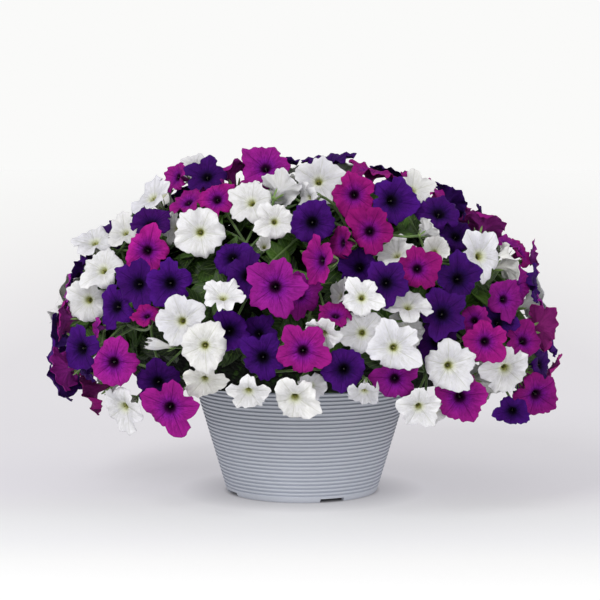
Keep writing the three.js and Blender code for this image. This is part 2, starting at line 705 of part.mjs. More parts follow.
// A bloom on a stalk of its own, which ends just off the core.
function loneSolid(bloom, seat) {
  const shell = new Shell();
  const end = tubeEnd(bloom);
  const away = end.clone().sub(seat.point).normalize();
  const neckPoints = ring(end, away.clone().add(bloom.normal).normalize(), STALK_RADIUS, 3);
  const neck = shell.add(neckPoints);
  const foot = shell.add(neckPoints.map((corner) => {
    const depth = corner.clone().sub(seat.point).dot(seat.normal) - CLEARANCE;
    return corner.clone().addScaledVector(away, -depth / away.dot(seat.normal));
  }));
  shell.join(addTrumpet(shell, bloom), neck);
  addStalk(shell, neck, foot);
  shell.cap(foot);
  return shell.solid();
}

function spraySolid({ members, fork, seat }) {
  if (members.length === 1) return loneSolid(members[0], seat);
  const shell = new Shell();
  addFork(shell, members, fork, seat).forEach(({ bloom, face }) => {
    if (!bloom) {
      shell.faces.push(face);
      return;
    }
    const neck = shell.add(neckRing(shell, bloom, face));
    shell.join(addTrumpet(shell, bloom), neck);
    addStalk(shell, neck, face);
  });
  return shell.solid();
}

// The rooms of a spray's stalks, if each leaves its face forwards and is clear of all but its
// own trumpet.
function roomsAt(members, fork, seat, obstacles) {
  const shell = new Shell();
  const faces = addFork(shell, members, fork, seat).filter(({ bloom }) => bloom);
  const corners = faces.map(({ face }) => face.map((k) => shell.points[k]));
  const forwards = faces.every(({ bloom }, k) => {
    const [a, b, c] = corners[k];
    const normal = b.clone().sub(a).cross(c.clone().sub(a)).normalize();
    return tubeEnd(bloom).sub(a).normalize().dot(normal) > LEAST_SPREAD;
  });
  if (!forwards) return null;
  const rooms = [];
  const free = faces.every(({ bloom }, k) => {
    const end = tubeEnd(bloom);
    const start = middleOf(corners[k]);
    start.addScaledVector(end.clone().sub(start).normalize(), 1);
    const room = stalkRoom(start, end);
    rooms.push(room);
    const others = obstacles.filter((other) => other.owner !== bloom).map((other) => other.body);
    return clearOf(room, [coreSolid, ...others]);
  });
  const foot = stalkRoom(seat.point, fork, FORK_RADIUS);
  rooms.push(foot);
  if (free && clearOf(foot, obstacles.map((other) => other.body))) return rooms;
  rooms.forEach((room) => room.delete());
  return null;
}

// Tries forks for a few blooms of one colour, and gives the first that leaves every stalk clear.
function forkFor(members, obstacles) {
  const ends = members.map(tubeEnd);
  const middle = middleOf(ends);
  const heart = heartOf(middle);
  const axis = middle.clone().sub(heart).normalize();
  const [u, v] = across(axis);
  for (const height of FORK_HEIGHTS) {
    for (const [du, dv] of FORK_SHIFTS) {
      const aim = heart.clone().addScaledVector(u, du).addScaledVector(v, dv);
      const seat = coreHit(aim.clone().addScaledVector(axis, OUTSIDE), aim);
      if (!seat || axis.dot(seat.normal) < LEAST_SLANT) continue;
      const fork = seat.point.clone().addScaledVector(axis, height);
      if (ends.some((end) => end.distanceTo(fork) > SPRAY_REACH)) continue;
      const folded = members.some((bloom, k) => (
        ends[k].clone().sub(fork).normalize().dot(bloom.normal) < LEAST_BEND
      ));
      if (folded) continue;
      const rooms = roomsAt(members, fork, seat, obstacles);
      if (rooms) return { fork, seat, rooms };
    }
  }
  return null;
}

// The same for a bloom on a stalk of its own.
function seatFor(bloom, obstacles) {
  const end = tubeEnd(bloom);
  const heart = heartOf(end);
  const [u, v] = across(end.clone().sub(heart).normalize());
  const others = obstacles.filter((other) => other.owner !== bloom).map((other) => other.body);
  for (const [du, dv] of SEAT_SHIFTS) {
    const aim = heart.clone().addScaledVector(u, du).addScaledVector(v, dv);
    const seat = coreHit(end, aim);
    if (!seat) continue;
    const away = end.clone().sub(seat.point).normalize();
    if (away.dot(seat.normal) < LONE_SLANT || away.dot(bloom.normal) < LONE_BEND) continue;
    const start = seat.point.clone().addScaledVector(away, CLEARANCE);
    const room = stalkRoom(start, end);
    if (clearOf(room, others)) return { fork: null, seat, rooms: [room] };
    room.delete();
  }
  return null;
}

function buildSprays(blooms) {
  const obstacles = blooms.map((bloom) => ({ owner: bloom, body: bloom.body }));
  const loose = new Set(blooms);
  const sprays = [];
  blooms.slice().sort((a, b) => a.place.z - b.place.z).forEach((first) => {
    if (!loose.has(first)) return;
    loose.delete(first);
    let members = [first];
    let found = seatFor(first, obstacles);
    const near = [...loose].filter((other) => other.hue === first.hue)
      .sort((a, b) => a.place.distanceTo(first.place) - b.place.distanceTo(first.place))
      .slice(0, SPRAY_CHOICES);
    near.forEach((other) => {
      if (members.length >= SPRAY_SIZE) return;
      const wider = forkFor([...members, other], obstacles);
      if (!wider) return;
      members = [...members, other];
      found = wider;
      loose.delete(other);
    });
    if (!found) return;
    obstacles.push(...found.rooms.map((body) => ({ owner: null, body })));
    sprays.push({ hue: first.hue, members, ...found });
  });
  return sprays;
}

// ---- leaves ---------------------------------------------------------------------------------

// The outline of a leaf, as shares of its length and width, and how far its edges fold up.
const LEAF_OUTLINE = [
  [0, 0, 0], [0.34, 0.5, 0.1], [0.68, 0.42, 0.1], [1, 0, 0], [0.68, -0.42, 0.1],
  [0.34, -0.5, 0.1],
];
const LEAF_HALVES = [[0, 1, 3], [1, 2, 3], [0, 3, 5], [3, 4, 5]];

// An ovate blade folded a little along its midrib, with its root inside the crown.
function leafShell(root, along, side, size) {
  const up = side.clone().cross(along).normalize();
  const place = ([length, width, lift], drop) => root.clone()
    .addScaledVector(along, length * LEAF_LENGTH * size)
    .addScaledVector(side, width * LEAF_WIDTH * size)
    .addScaledVector(up, (lift * LEAF_WIDTH - LEAF_DROOP * length * length) * size - drop);
  const shell = new Shell();
  const top = shell.add(LEAF_OUTLINE.map((point) => place(point, 0)));
  const under = shell.add(LEAF_OUTLINE.map((point) => place(point, LEAF_THICKNESS)));
  LEAF_HALVES.forEach(([a, b, c]) => {
    shell.faces.push([top[a], top[b], top[c]], [under[a], under[c], under[b]]);
  });
  shell.join(top, under);
  return shell;
}

function crownSolid(obstacles) {
  const leaves = [];
  for (let attempt = 0; attempt < LEAF_TRIES && leaves.length < LEAF_COUNT; attempt += 1) {
    const height = 1 - (1 + LEAF_SPREAD_DOWN) * draw();
    const level = Math.sqrt(1 - height * height);
    const a = 2 * Math.PI * draw();
    const out = new THREE.Vector3(level * Math.cos(a), level * Math.sin(a), height)
      .multiply(LEAF_SPREAD);
    const from = new THREE.Vector3(0, 0, LEAF_MIDDLE).addScaledVector(out, OUTSIDE);
    const lean = LEAF_LEAN + LEAF_LEAN_SPREAD * draw();
    const swing = 2 * Math.PI * draw();
    const size = 1 + LEAF_SIZE_SPREAD * (2 * draw() - 1);
    const hit = coreHit(from, heartOf(from.clone().multiplyScalar(HEART_SHARE)));
    if (!hit) continue;
    const [u, v] = across(hit.normal);
    const along = hit.normal.clone().multiplyScalar(lean)
      .addScaledVector(u, Math.cos(swing)).addScaledVector(v, Math.sin(swing)).normalize();
    const side = along.clone().cross(hit.normal).normalize();
    const root = hit.point.clone().addScaledVector(along, -LEAF_ROOT);
    const blade = leafShell(root, along, side, size).solid();
    const sunk = blade.intersect(coreSolid);
    const rooted = !sunk.isEmpty() && sunk.volume() < ROOT_VOLUME;
    sunk.delete();
    if (rooted && clearOf(blade, obstacles) && clearOf(blade, leaves)) leaves.push(blade);
  }
  const stems = plantStemPlaces().map(([x, y]) => upright(
    PLANT_STEM_RADIUS, SOIL_TOP - PLANT_STEM_DEPTH + GAP, CROWN_RINGS[0][2] + 8, x, y,
    PLANT_STEM_SIDES,
  ));
  return fused([coreSolid, ...stems, ...leaves]);
}

// ---- the whole plant ------------------------------------------------------------------------

const seen = seenBlooms();
const blooms = settle([...seen, ...farBlooms(seen)]);
const sprays = buildSprays(blooms);
const sprayBodies = sprays.map(spraySolid);
const bowl = bowlSolid();

const plant = new THREE.Group();
plant.add(meshOf(bowl, 'bowl', 'bowl'));
plant.add(meshOf(soilSolid(), 'soil', 'soil'));
plant.add(meshOf(crownSolid([bowl, ...sprayBodies]), 'leafy_crown', 'leaf'));
sprays.forEach(({ hue }, k) => {
  const number = sprays.slice(0, k + 1).filter((other) => other.hue === hue).length;
  plant.add(meshOf(sprayBodies[k], `${hue}_spray_${String(number).padStart(2, '0')}`, hue));
});

export default plant;
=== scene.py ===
"""A bowl of mixed trailing petunias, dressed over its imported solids.

Every bloom stands exactly where its faceted solid stands: its place, direction, size and how far
it has opened are read from the solids. Metres, +Z up, the side of the photograph towards -Y.
"""
import json
import math
from functools import partial

import bmesh
import bpy
import numpy as np
from bpy.props import FloatProperty, FloatVectorProperty, IntProperty, PointerProperty
from mathutils import Matrix, Vector
from mathutils.bvhtree import BVHTree

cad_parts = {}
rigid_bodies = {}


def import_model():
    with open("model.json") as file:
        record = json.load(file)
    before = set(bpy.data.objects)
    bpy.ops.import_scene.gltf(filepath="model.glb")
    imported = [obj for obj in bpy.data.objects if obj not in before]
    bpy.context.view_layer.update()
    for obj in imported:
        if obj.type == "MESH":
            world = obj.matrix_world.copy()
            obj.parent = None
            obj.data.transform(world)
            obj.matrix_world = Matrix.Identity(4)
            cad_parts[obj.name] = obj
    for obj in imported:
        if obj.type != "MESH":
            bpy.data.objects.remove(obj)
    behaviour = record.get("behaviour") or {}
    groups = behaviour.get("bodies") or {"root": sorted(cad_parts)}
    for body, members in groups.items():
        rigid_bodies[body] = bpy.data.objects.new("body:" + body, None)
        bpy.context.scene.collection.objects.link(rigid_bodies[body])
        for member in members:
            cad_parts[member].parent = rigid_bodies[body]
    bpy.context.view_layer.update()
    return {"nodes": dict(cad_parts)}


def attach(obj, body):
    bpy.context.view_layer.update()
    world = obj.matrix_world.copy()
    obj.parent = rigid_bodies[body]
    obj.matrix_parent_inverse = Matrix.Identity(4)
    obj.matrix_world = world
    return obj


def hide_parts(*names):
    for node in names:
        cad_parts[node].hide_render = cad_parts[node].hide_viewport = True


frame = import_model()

bl_info = {
    "name": "Potted Petunias",
    "version": (1, 0, 0),
    "blender": (4, 5, 0),
    "location": "View3D > Sidebar > Petunias",
    "description": "Dresses a bowl of trailing petunias",
    "category": "Object",
}

MM = 0.001
ROOT = "root"

# The solids of a bloom, as shares of its radius: where the throat's ring and the well lie.
THROAT_REACH = 0.16
THROAT_DEPTH = 0.25
WELL_DEPTH = 0.5
TUBE_LENGTH = 0.95
NECK_RADIUS = 1.7 * MM

# The bowl, as it was moulded.
RIM_RADIUS = 152.5 * MM
BOWL_HEIGHT = 187 * MM
FOOT_RADIUS = 97 * MM
FOOT_WIDTH = 7 * MM
FOOT_BAND = 8 * MM
UNDERSIDE = 4 * MM
FLOOR_THICKNESS = 3 * MM
RIM_BAND = 6 * MM
RIB_COUNT = 35
RIB_PITCH = (BOWL_HEIGHT - RIM_BAND - FOOT_BAND) / RIB_COUNT
WALL = 3.6 * MM
NOTCH_AZIMUTHS = (-67, 23, 113, 203)
NOTCH_SIZE = (19 * MM, 32 * MM, 9.2 * MM)
DRAIN_RADIUS = 5 * MM
DRAIN_CIRCLE = 78 * MM

# The inner mass of the plant: half width, half depth and height of its rings, in millimetres,
# and the height of its middle.
CROWN_RINGS = (
    (126, 126, 178), (130, 130, 204), (178, 168, 201), (200, 176, 140), (236, 204, 138),
    (262, 224, 190), (250, 214, 256), (204, 174, 316), (116, 98, 350), (4, 4, 362),
)
CROWN_CENTRE = 0.235

# The main stems: how many, and the distance from the middle and the height of their ends.
STEM_COUNT = 5
STEM_FOOT = (72 * MM, 145 * MM)
STEM_TOP = (110 * MM, 230 * MM)

# How low a leaf may hang: over the bowl, where outer and inner leaves differ, and beyond it.
BOWL_SWEEP = 0.25
OUTER_OVER_BOWL = 0.192
INNER_OVER_BOWL = 0.174
LOWEST_BEYOND = 0.15

# The photograph's camera: its distance from the bowl, how far it looks down, and how the picture
# shows the bowl.
CAMERA_DISTANCE = 2.4
CAMERA_FALL = math.radians(10.4)
CAMERA_SIDE = -2.6 * MM
MM_PER_PIXEL = 1.3
PICTURE_SIDE = 600
FOOT_ROW = 489


# ---- small tools ----

def colour(code):
    """A linear colour from an sRGB hex value."""
    parts = shares(code)
    return [p / 12.92 if p <= 0.04045 else ((p + 0.055) / 1.055) ** 2.4 for p in parts] + [1.0]


def shares(code):
    """The red, green and blue of a hex value, each from 0 to 1."""
    return [int(code[k:k + 2], 16) / 255 for k in (1, 3, 5)]


def hexes(values):
    """The hex value of a red, green and blue from 0 to 1."""
    return "#" + "".join(f"{round(255 * v):02X}" for v in values)


def set_mode(mode):
    bpy.ops.object.mode_set(mode=mode)


def deselect():
    if bpy.context.object and bpy.context.object.mode != "OBJECT":
        set_mode("OBJECT")
    bpy.ops.object.select_all(action="DESELECT")


def pick(*pieces):
    """Selects pieces, and makes the first one active."""
    deselect()
    for piece in pieces:
        piece.select_set(True)
    bpy.context.view_layer.objects.active = pieces[0]


def linked(name, data):
    """A new object in the scene."""
    piece = bpy.data.objects.new(name, data)
    bpy.context.scene.collection.objects.link(piece)
    return piece


def joined(pieces, name):
    pick(*pieces)
    if len(pieces) > 1:
        bpy.ops.object.join()
    whole = bpy.context.object
    whole.name = name
    whole.data.name = name
    return whole


def settle_transform(piece):
    """Takes a piece's place, turn and scale into its corners."""
    pick(piece)
    bpy.ops.object.transform_apply(location=True, rotation=True, scale=True)
    return piece


def apply_all(piece):
    pick(piece)
    for modifier in list(piece.modifiers):
        bpy.ops.object.modifier_apply(modifier=modifier.name)


def corners(mesh):
    co = np.empty(len(mesh.vertices) * 3, np.float64)
    mesh.vertices.foreach_get("co", co)
    return co.reshape(-1, 3)


def set_corners(mesh, co):
    mesh.vertices.foreach_set("co", np.ascontiguousarray(co, np.float32).ravel())
    mesh.update()


def own_layers(mesh, uv_name):
    """Gives a mesh one UV map and a tone, in place of what its primitive came with."""
    while mesh.uv_layers:
        mesh.uv_layers.remove(mesh.uv_layers[0])
    layer = mesh.uv_layers.new(name=uv_name)
    mesh.attributes.new("tone", "FLOAT", "POINT")
    return layer


def lay_uv(mesh, layer, at):
    """Sets a UV map from one place for each corner of the mesh."""
    loops = np.empty(len(mesh.loops), int)
    mesh.loops.foreach_get("vertex_index", loops)
    layer.data.foreach_set("uv", at[loops].ravel())


def set_tone(mesh, value):
    tones = np.full(len(mesh.vertices), value, np.float32)
    mesh.attributes["tone"].data.foreach_set("value", tones)


def placed_copy(model, name, co, matrix, material):
    """A copy of a model with its corners at co, turned and moved by a matrix."""
    piece = linked(name, model.data.copy())
    turn = np.array(matrix.to_3x3())
    set_corners(piece.data, co @ turn.T + np.array(matrix.translation))
    piece.data.materials.append(material)
    return piece


def smooth(piece):
    pick(piece)
    bpy.ops.object.shade_smooth()


def remove(*pieces):
    for piece in pieces:
        bpy.data.objects.remove(piece)


def across(axis):
    """Two directions square to an axis and to each other, the first one level."""
    level = Vector((0, 0, 1)).cross(axis)
    if level.length < 1e-6:
        level = Vector((1, 0, 0))
    level.normalize()
    return level, axis.cross(level).normalized()


def frame_of(side, along, up, place):
    """The matrix whose axes are three given vectors, at a place."""
    rows = [(side[k], along[k], up[k], place[k]) for k in range(3)]
    return Matrix((*rows, (0, 0, 0, 1)))


# ---- materials ----

SIGNS = {"+": "Math.ADD", "-": "Math.SUBTRACT", "*": "Math.MULTIPLY", "/": "Math.DIVIDE"}


def add_node(tree, kind, *sources, out="", stops=(), **settings):
    """Adds a node with its settings and links, and gives one of its outputs, or several.

    A kind may name its operation or type of data after a dot, or be a sign of arithmetic.
    Sources are sockets, values or sRGB hex values for the inputs in use, in their order. A
    setting that starts with a capital goes to the input of that name, and any other to the node
    itself. Stops, for a colour ramp, are pairs of a position and a hex value or a grey.
    """
    kind, _, form = SIGNS.get(kind, kind).partition(".")
    node = tree.nodes.new("ShaderNode" + kind)
    if form:
        setattr(node, "data_type" if kind == "Mix" else "operation", form)
    for name, value in settings.items():
        if name[0].islower():
            setattr(node, name, value)
    given = list(zip([socket for socket in node.inputs if socket.enabled], sources))
    given += [(node.inputs[name], settings[name]) for name in settings if name[0].isupper()]
    for socket, source in given:
        if isinstance(source, bpy.types.NodeSocket):
            tree.links.new(source, socket)
        else:
            socket.default_value = colour(source) if isinstance(source, str) else source
    if stops:
        elements = node.color_ramp.elements
        while len(elements) < len(stops):
            elements.new(0.5)
        for element, (position, tone) in zip(elements, stops):
            element.position = position
            element.color = colour(tone) if isinstance(tone, str) else [tone] * 3 + [1]
    if isinstance(out, tuple):
        return [node.outputs[name] for name in out]
    return node.outputs[out] if out else next(s for s in node.outputs if s.enabled)


def new_material(name, **constants):
    """A surface, with what is the same all over it set on its shader.

    Gives the surface, the function that adds nodes to it, its shader and the coordinates that its
    patterns lie in, which are the object's, in metres.
    """
    material = bpy.data.materials.new(name)
    material.use_nodes = True
    shader = material.node_tree.nodes["Principled BSDF"]
    for socket, value in constants.items():
        shader.inputs[socket.replace("_", " ")].default_value = value
    add = partial(add_node, material.node_tree)
    return material, add, shader, add("TexCoord", out="Object")


def feed(node, **sources):
    """Links sources to the inputs of a node by their names."""
    for name, source in sources.items():
        node.id_data.links.new(source, node.inputs[name.replace("_", " ")])


# What each petal colour looks like, from the eye outwards. The reaches are the shares of the
# radius where the eye and the throat end and where the colour of the inner and outer face is full.
PETALS = {
    "white": {
        "eye": "#7C7A24", "throat": "#C2C65C", "inner": "#E4E7CC", "face": "#EAE9EF",
        "edge": "#F0EFF4", "vein": "#A9AD8E", "vein_share": 0.5, "rib_share": 0.6,
        "reaches": (0.03, 0.09, 0.17, 0.34),
        "back": "#DEDED6", "tube": "#B4BE78", "shade": "#BEBDCE", "alternate": "#E4E3D8",
        "warm": "#EAE9E5", "shade_share": 0.5,
    },
    "violet": {
        "eye": "#050108", "throat": "#110420", "inner": "#2A0A55", "face": "#45106E",
        "edge": "#47127C", "vein": "#16042E", "vein_share": 0.75, "rib_share": 0.8,
        "reaches": (0.12, 0.2, 0.36, 0.6),
        "back": "#4E2C86", "tube": "#4A3568", "shade": "#1D0638", "alternate": "#3C0B52",
        "warm": "#4E1286", "shade_share": 0.65,
    },
    "magenta": {
        "eye": "#120110", "throat": "#3A0640", "inner": "#84189A", "face": "#B8229E",
        "edge": "#C02296", "vein": "#4A0548", "vein_share": 0.8, "rib_share": 0.95,
        "reaches": (0.1, 0.17, 0.3, 0.6),
        "back": "#9450A0", "tube": "#80607E", "shade": "#640C58", "alternate": "#9028AC",
        "warm": "#9C1062", "shade_share": 0.62,
    },
}


# The green parts: the surface's name, its light and dark tone, and its patches to the metre.
GREENS = {
    "sepal": ("petunia_sepal", "#7A9450", "#4C6A2A", 90.0),
    "stalk": ("petunia_stalk", "#627E3E", "#3A5424", 60.0),
    "stamen": ("petunia_stamen", "#A09C48", "#45431D", 200.0),
    # The stamen of the violet and magenta blooms: a copy with painted shade, for its place deep in
    # their dark throats.
    "shaded_stamen": ("shaded_petunia_stamen", "#2E2A22", "#14110E", 200.0),
}
WOODY_STEM = ("woody_petunia_stem", "#7C8A58", "#4E5A34", 70.0)


def petal_material(hue, tones):
    """Living petal: grown thin and velvety, so it is matt, with veins from a dark or green eye."""
    material, add, shader, place = new_material(
        f"{hue}_petunia_petal", Roughness=0.62, Specular_IOR_Level=0.06)
    centred = add("VectorMath.SUBTRACT", add("UVMap", uv_map="petal"), (0.5, 0.5, 0))
    reach = add("*", add("VectorMath.LENGTH", centred), 2.0)
    spoke = add("VectorMath.NORMALIZE", centred)
    x, y = add("SeparateXYZ", spoke, out=("X", "Y"))
    turn = add("Math.ARCTAN2", y, x)
    # Fine veins: streaks along the spokes that bend a little on the way out.
    around = add("VectorMath.MULTIPLY", spoke, (9.0, 9.0, 0))
    around = add("VectorMath.ADD", around, add("CombineXYZ", Z=add("*", reach, 3.2)))
    streak = add("TexNoise", around, Scale=1.6, Detail=2.0, Roughness=0.6)
    thin = add("Math.ABSOLUTE", add("-", streak, 0.5))
    vein = add("MapRange", thin, 0.0, 0.045, 1.0, 0.0)
    # The midrib of each of the five lobes, of one width all along.
    beside = add("*", add("Math.ABSOLUTE", add("Math.SINE", add("*", turn, 2.5))), reach)
    midrib = add("MapRange", beside, 0.004, 0.017, 1.0, 0.0)
    fades = ([(0.05, 1.0), (0.25, 0.7), (0.46, 0.2), (0.6, 0.5), (0.8, 0.8)],
             [(0.1, 1.0), (0.34, 0.85), (0.5, 0.3), (0.6, 0.5), (0.8, 0.8)])
    faded = []
    for line, fade, share in zip((vein, midrib), fades, ("vein_share", "rib_share")):
        line = add("*", line, add("ValToRGB", reach, stops=fade))
        faded.append(add("*", line, tones[share]))
    lines = add("Math.MAXIMUM", *faded)
    eye, throat, inner, face = (0.5 * share for share in tones["reaches"])
    base = add("ValToRGB", reach, stops=[
        (eye, tones["eye"]), (throat, tones["throat"]), (inner, tones["inner"]),
        (face, tones["face"]), (0.46, tones["edge"]), (0.505, tones["edge"]),
        (0.53, tones["back"]), (0.78, tones["back"]), (0.86, tones["tube"]),
    ])
    # Each bloom leans towards two other tones by shares of its own, and fades in patches some
    # 18 mm across.
    patch = add("TexNoise", place, Scale=55.0, Detail=2.0)
    tone = add("Attribute", attribute_name="tone", out="Fac")
    facing = add("MapRange", reach, throat, face, 0.0, 1.0)
    for spread, share, other in ((7.3, 0.75, "alternate"), (13.7, 0.7, "warm")):
        part = add("*", add("Math.FRACT", add("*", tone, spread)), facing)
        base = add("Mix.RGBA", add("*", part, share), base, tones[other])
    dull = add("*", add("*", add("+", patch, tone), tones["shade_share"]), facing)
    for part, other in ((dull, "shade"), (lines, "vein")):
        base = add("Mix.RGBA", part, base, tones[other])
    relief = add("-", add("*", streak, 1.5), lines)
    feed(shader, Base_Color=base,
         Normal=add("Bump", Height=relief, Distance=1.2 * MM, Strength=0.7))
    return material


def green_material(name, light, dark, scale):
    """Stalk, sepal or stamen: grown soft, with fine hairs, which give it a dull bloom."""
    material, add, shader, place = new_material(
        name, Roughness=0.5, Sheen_Weight=0.2, Specular_IOR_Level=0.35)
    noise = add("TexNoise", place, Scale=scale, Detail=3.0)
    base = add("ValToRGB", noise, stops=[(0.3, dark), (0.7, light)])
    feed(shader, Base_Color=base, Normal=add("Bump", Height=noise, Distance=0.4 * MM, Strength=0.4))
    return material


def leaf_material():
    """Petunia leaf: grown soft and slightly hairy, dark green, with paler sunken veins."""
    material, add, shader, place = new_material(
        "petunia_leaf", Roughness=0.5, Specular_IOR_Level=0.3)
    x, y = add("SeparateXYZ", add("UVMap", uv_map="blade"), out=("X", "Y"))
    side = add("Math.ABSOLUTE", add("-", x, 0.5))
    midrib = add("MapRange", side, 0.0, 0.035, 1.0, 0.0)
    # Eight side veins to a blade of 56 mm, 7 mm apart, which slant forwards from the midrib.
    slant = add("-", y, add("*", side, 0.55))
    wave = add("Math.SINE", add("*", slant, 2 * math.pi * 8))
    rib = add("MapRange", wave, 0.9, 1.0, 0.0, 0.7)
    lines = add("Math.MAXIMUM", midrib, rib)
    # Patches some 33 mm across, and a tone of its own for each leaf.
    noise = add("TexNoise", place, Scale=30.0, Detail=3.0)
    tone = add("Attribute", attribute_name="tone", out="Fac")
    tone = add("+", add("*", noise, 0.5), add("*", tone, 0.5))
    base = add("ValToRGB", tone, stops=[
        (0.15, "#12200A"), (0.4, "#263F10"), (0.62, "#3C5E1A"), (0.9, "#6A8F30"),
    ])
    base = add("Mix.RGBA", add("*", lines, 0.45), base, "#86A850")
    relief = add("-", noise, lines)
    feed(shader, Base_Color=base,
         Normal=add("Bump", Height=relief, Distance=0.6 * MM, Strength=0.5))
    return material


def thicket_material():
    """The shaded tangle of stems and leaves inside the plant."""
    material, add, shader, place = new_material(
        "shaded_stems_and_leaves", Roughness=0.85, Specular_IOR_Level=0.15)
    # Flecks some 7 mm across, drawn out unevenly, each with its own dark tone of painted shade,
    # parted by black gaps of painted shade.
    stir = add("TexNoise", place, Scale=60.0, Detail=3.0, out="Color")
    stir = add("VectorMath.MULTIPLY", stir, (0.02, 0.02, 0.02))
    place = add("VectorMath.ADD", place, stir)
    apart, own = add("TexVoronoi", place, Scale=140.0, feature="F1", out=("Distance", "Color"))
    flecks = add("ValToRGB", add("SeparateXYZ", own), stops=[
        (0.0, "#060B04"), (0.6, "#101C09"), (0.85, "#1B2E0E"), (1.0, "#2E4816"),
    ])
    gap = add("ValToRGB", apart, stops=[(0.25, 0.0), (0.65, 1.0)])
    base = add("Mix.RGBA", gap, flecks, "#030502")
    relief = add("-", 1.0, apart)
    feed(shader, Base_Color=base, Normal=add("Bump", Height=relief, Distance=4 * MM, Strength=1.0))
    return material


def bowl_material(low, high):
    """Injection-moulded polypropylene: matt light grey-blue, with paler rib crests, painted shade
    in the rib valleys and painted shade up the wall under the plant.
    """
    material, add, shader, place = new_material(
        "matt_polypropylene", Roughness=0.6, Specular_IOR_Level=0.35, IOR=1.49)
    height = add("SeparateXYZ", place, out="Z")
    rib = add("/", add("-", height, FOOT_BAND), RIB_PITCH)
    # The valleys between the ribs are darker than the crests: partly painted shade in the grooves.
    crest = add("ValToRGB", add("Math.FRACT", rib), stops=[
        (0.08, 0.0), (0.5, 0.85), (0.8, 1.0), (0.97, 0.0),
    ])
    ribbed = add("MapRange", height, FOOT_BAND - 0.5 * MM, FOOT_BAND + 0.5 * MM, 0.0, 1.0)
    crest = add("+", add("*", crest, ribbed), add("*", add("-", 1.0, ribbed), 0.8))
    # Clouds some 70 mm across. The moulded grain of about 1 mm is coarser than it really is.
    cloud = add("TexNoise", place, Scale=14.0, Detail=4.0)
    grain = add("TexNoise", place, Scale=900.0, Detail=2.0)
    base = add("Mix.RGBA", crest, low, high)
    base = add("Mix.RGBA", add("*", cloud, 0.22), base, "#B7BCC6")
    # Painted shade: paler towards the foot and darker up the wall, in the shade of the overhanging
    # plant.
    painted_shade_by_height = add("MapRange", height, 0.0, 0.1, 1.14, 0.8)
    base = add("VectorMath.SCALE", base, painted_shade_by_height)
    feed(shader, Base_Color=base,
         Normal=add("Bump", Height=grain, Distance=0.2 * MM, Strength=0.25))
    return material


def soil_material():
    """Peat potting mix: matt dark crumbs of 4 to 5 mm with a few pale grains of perlite."""
    material, add, shader, place = new_material(
        "peat_potting_mix", Roughness=0.95, Specular_IOR_Level=0.1)
    crumbs = add("TexNoise", place, Scale=220.0, Detail=6.0)
    grains = add("TexVoronoi", place, Scale=160.0, feature="F1", out="Distance")
    pale = add("MapRange", grains, 0.1, 0.14, 0.7, 0.0)
    base = add("ValToRGB", crumbs, stops=[
        (0.3, "#120B07"), (0.55, "#2E2018"), (0.75, "#4A3527"),
    ])
    base = add("Mix.RGBA", pale, base, "#CFC9BC")
    feed(shader, Base_Color=base, Normal=add("Bump", Height=crumbs, Distance=3 * MM, Strength=0.9))
    return material


def floor_material():
    """The studio's pale floor: rolled matt white, with a painted glow and painted light and shade.
    """
    material, add, shader, place = new_material(
        "pale_floor", Roughness=0.8, Specular_IOR_Level=0.1, Emission_Strength=0.68)
    width, depth = add("SeparateXYZ", place, out=("X", "Y"))
    # Its tone from front to back, by x / (x + 1), with x the metres behind a line in front: painted
    # light and shade, palest in front, darkest round the bowl and paler again far behind.
    behind = add("Math.MAXIMUM", add("+", depth, 0.6), 0.0)
    tone = add("ValToRGB", add("/", behind, add("+", behind, 1.0)), stops=[
        (0.0, "#EEEEEE"), (0.153, "#E6E6E6"), (0.225, "#DFDFE1"), (0.291, "#DADADC"),
        (0.329, "#D6D5D8"), (0.371, "#D4D2D7"), (0.425, "#D3D1D6"), (0.502, "#D6D4D8"),
        (0.549, "#D7D5D9"), (0.677, "#DDDBDE"), (0.786, "#E5E3E5"), (0.882, "#EEEDED"),
        (0.94, "#F2F2F1"), (0.966, "#F6F6F5"), (1.0, "#FBFBFA"),
    ])
    # Far to the sides and to the front it is as pale as the wall behind.
    beside = add("-", add("Math.ABSOLUTE", width), 0.6)
    before = add("Math.MAXIMUM", add("-", -0.9, depth), 0.0)
    away = add("+", add("Math.MAXIMUM", beside, 0.0), before)
    away = add("/", away, add("+", away, 1.0))
    tone = add("Mix.RGBA", away, tone, "#FBFBFA")
    lit = add("VectorMath.MULTIPLY", tone, (0.55, 0.55, 0.55))
    # Painted contact shadow: it doesn't glow under the bowl, and glows less close round its foot.
    near = add("VectorMath.LENGTH", add("CombineXYZ", width, depth))
    glow = add("ValToRGB", near, stops=[
        (FOOT_RADIUS - 12 * MM, 0.0), (FOOT_RADIUS - 1 * MM, 0.12), (FOOT_RADIUS + 2 * MM, 0.6),
        (0.16, 1.0),
    ])
    tone = add("Mix.RGBA", 1.0, tone, glow, blend_type="MULTIPLY")
    feed(shader, Base_Color=lit, Emission_Color=tone)
    return material


# ---- reading the solids ----

def solid_of(node):
    """The solid's own corners, merged, as a bmesh."""
    mesh = bmesh.new()
    mesh.from_mesh(frame["nodes"][node].data)
    bmesh.ops.remove_doubles(mesh, verts=mesh.verts, dist=0.002 * MM)
    return mesh


def neighbours(corner):
    return [edge.other_vert(corner) for edge in corner.link_edges]


def middle_of(points):
    return sum(points, Vector()) / len(points)


def square_to(way, axis):
    """What is left of a way once its share along an axis is taken off."""
    return way - axis * way.dot(axis)


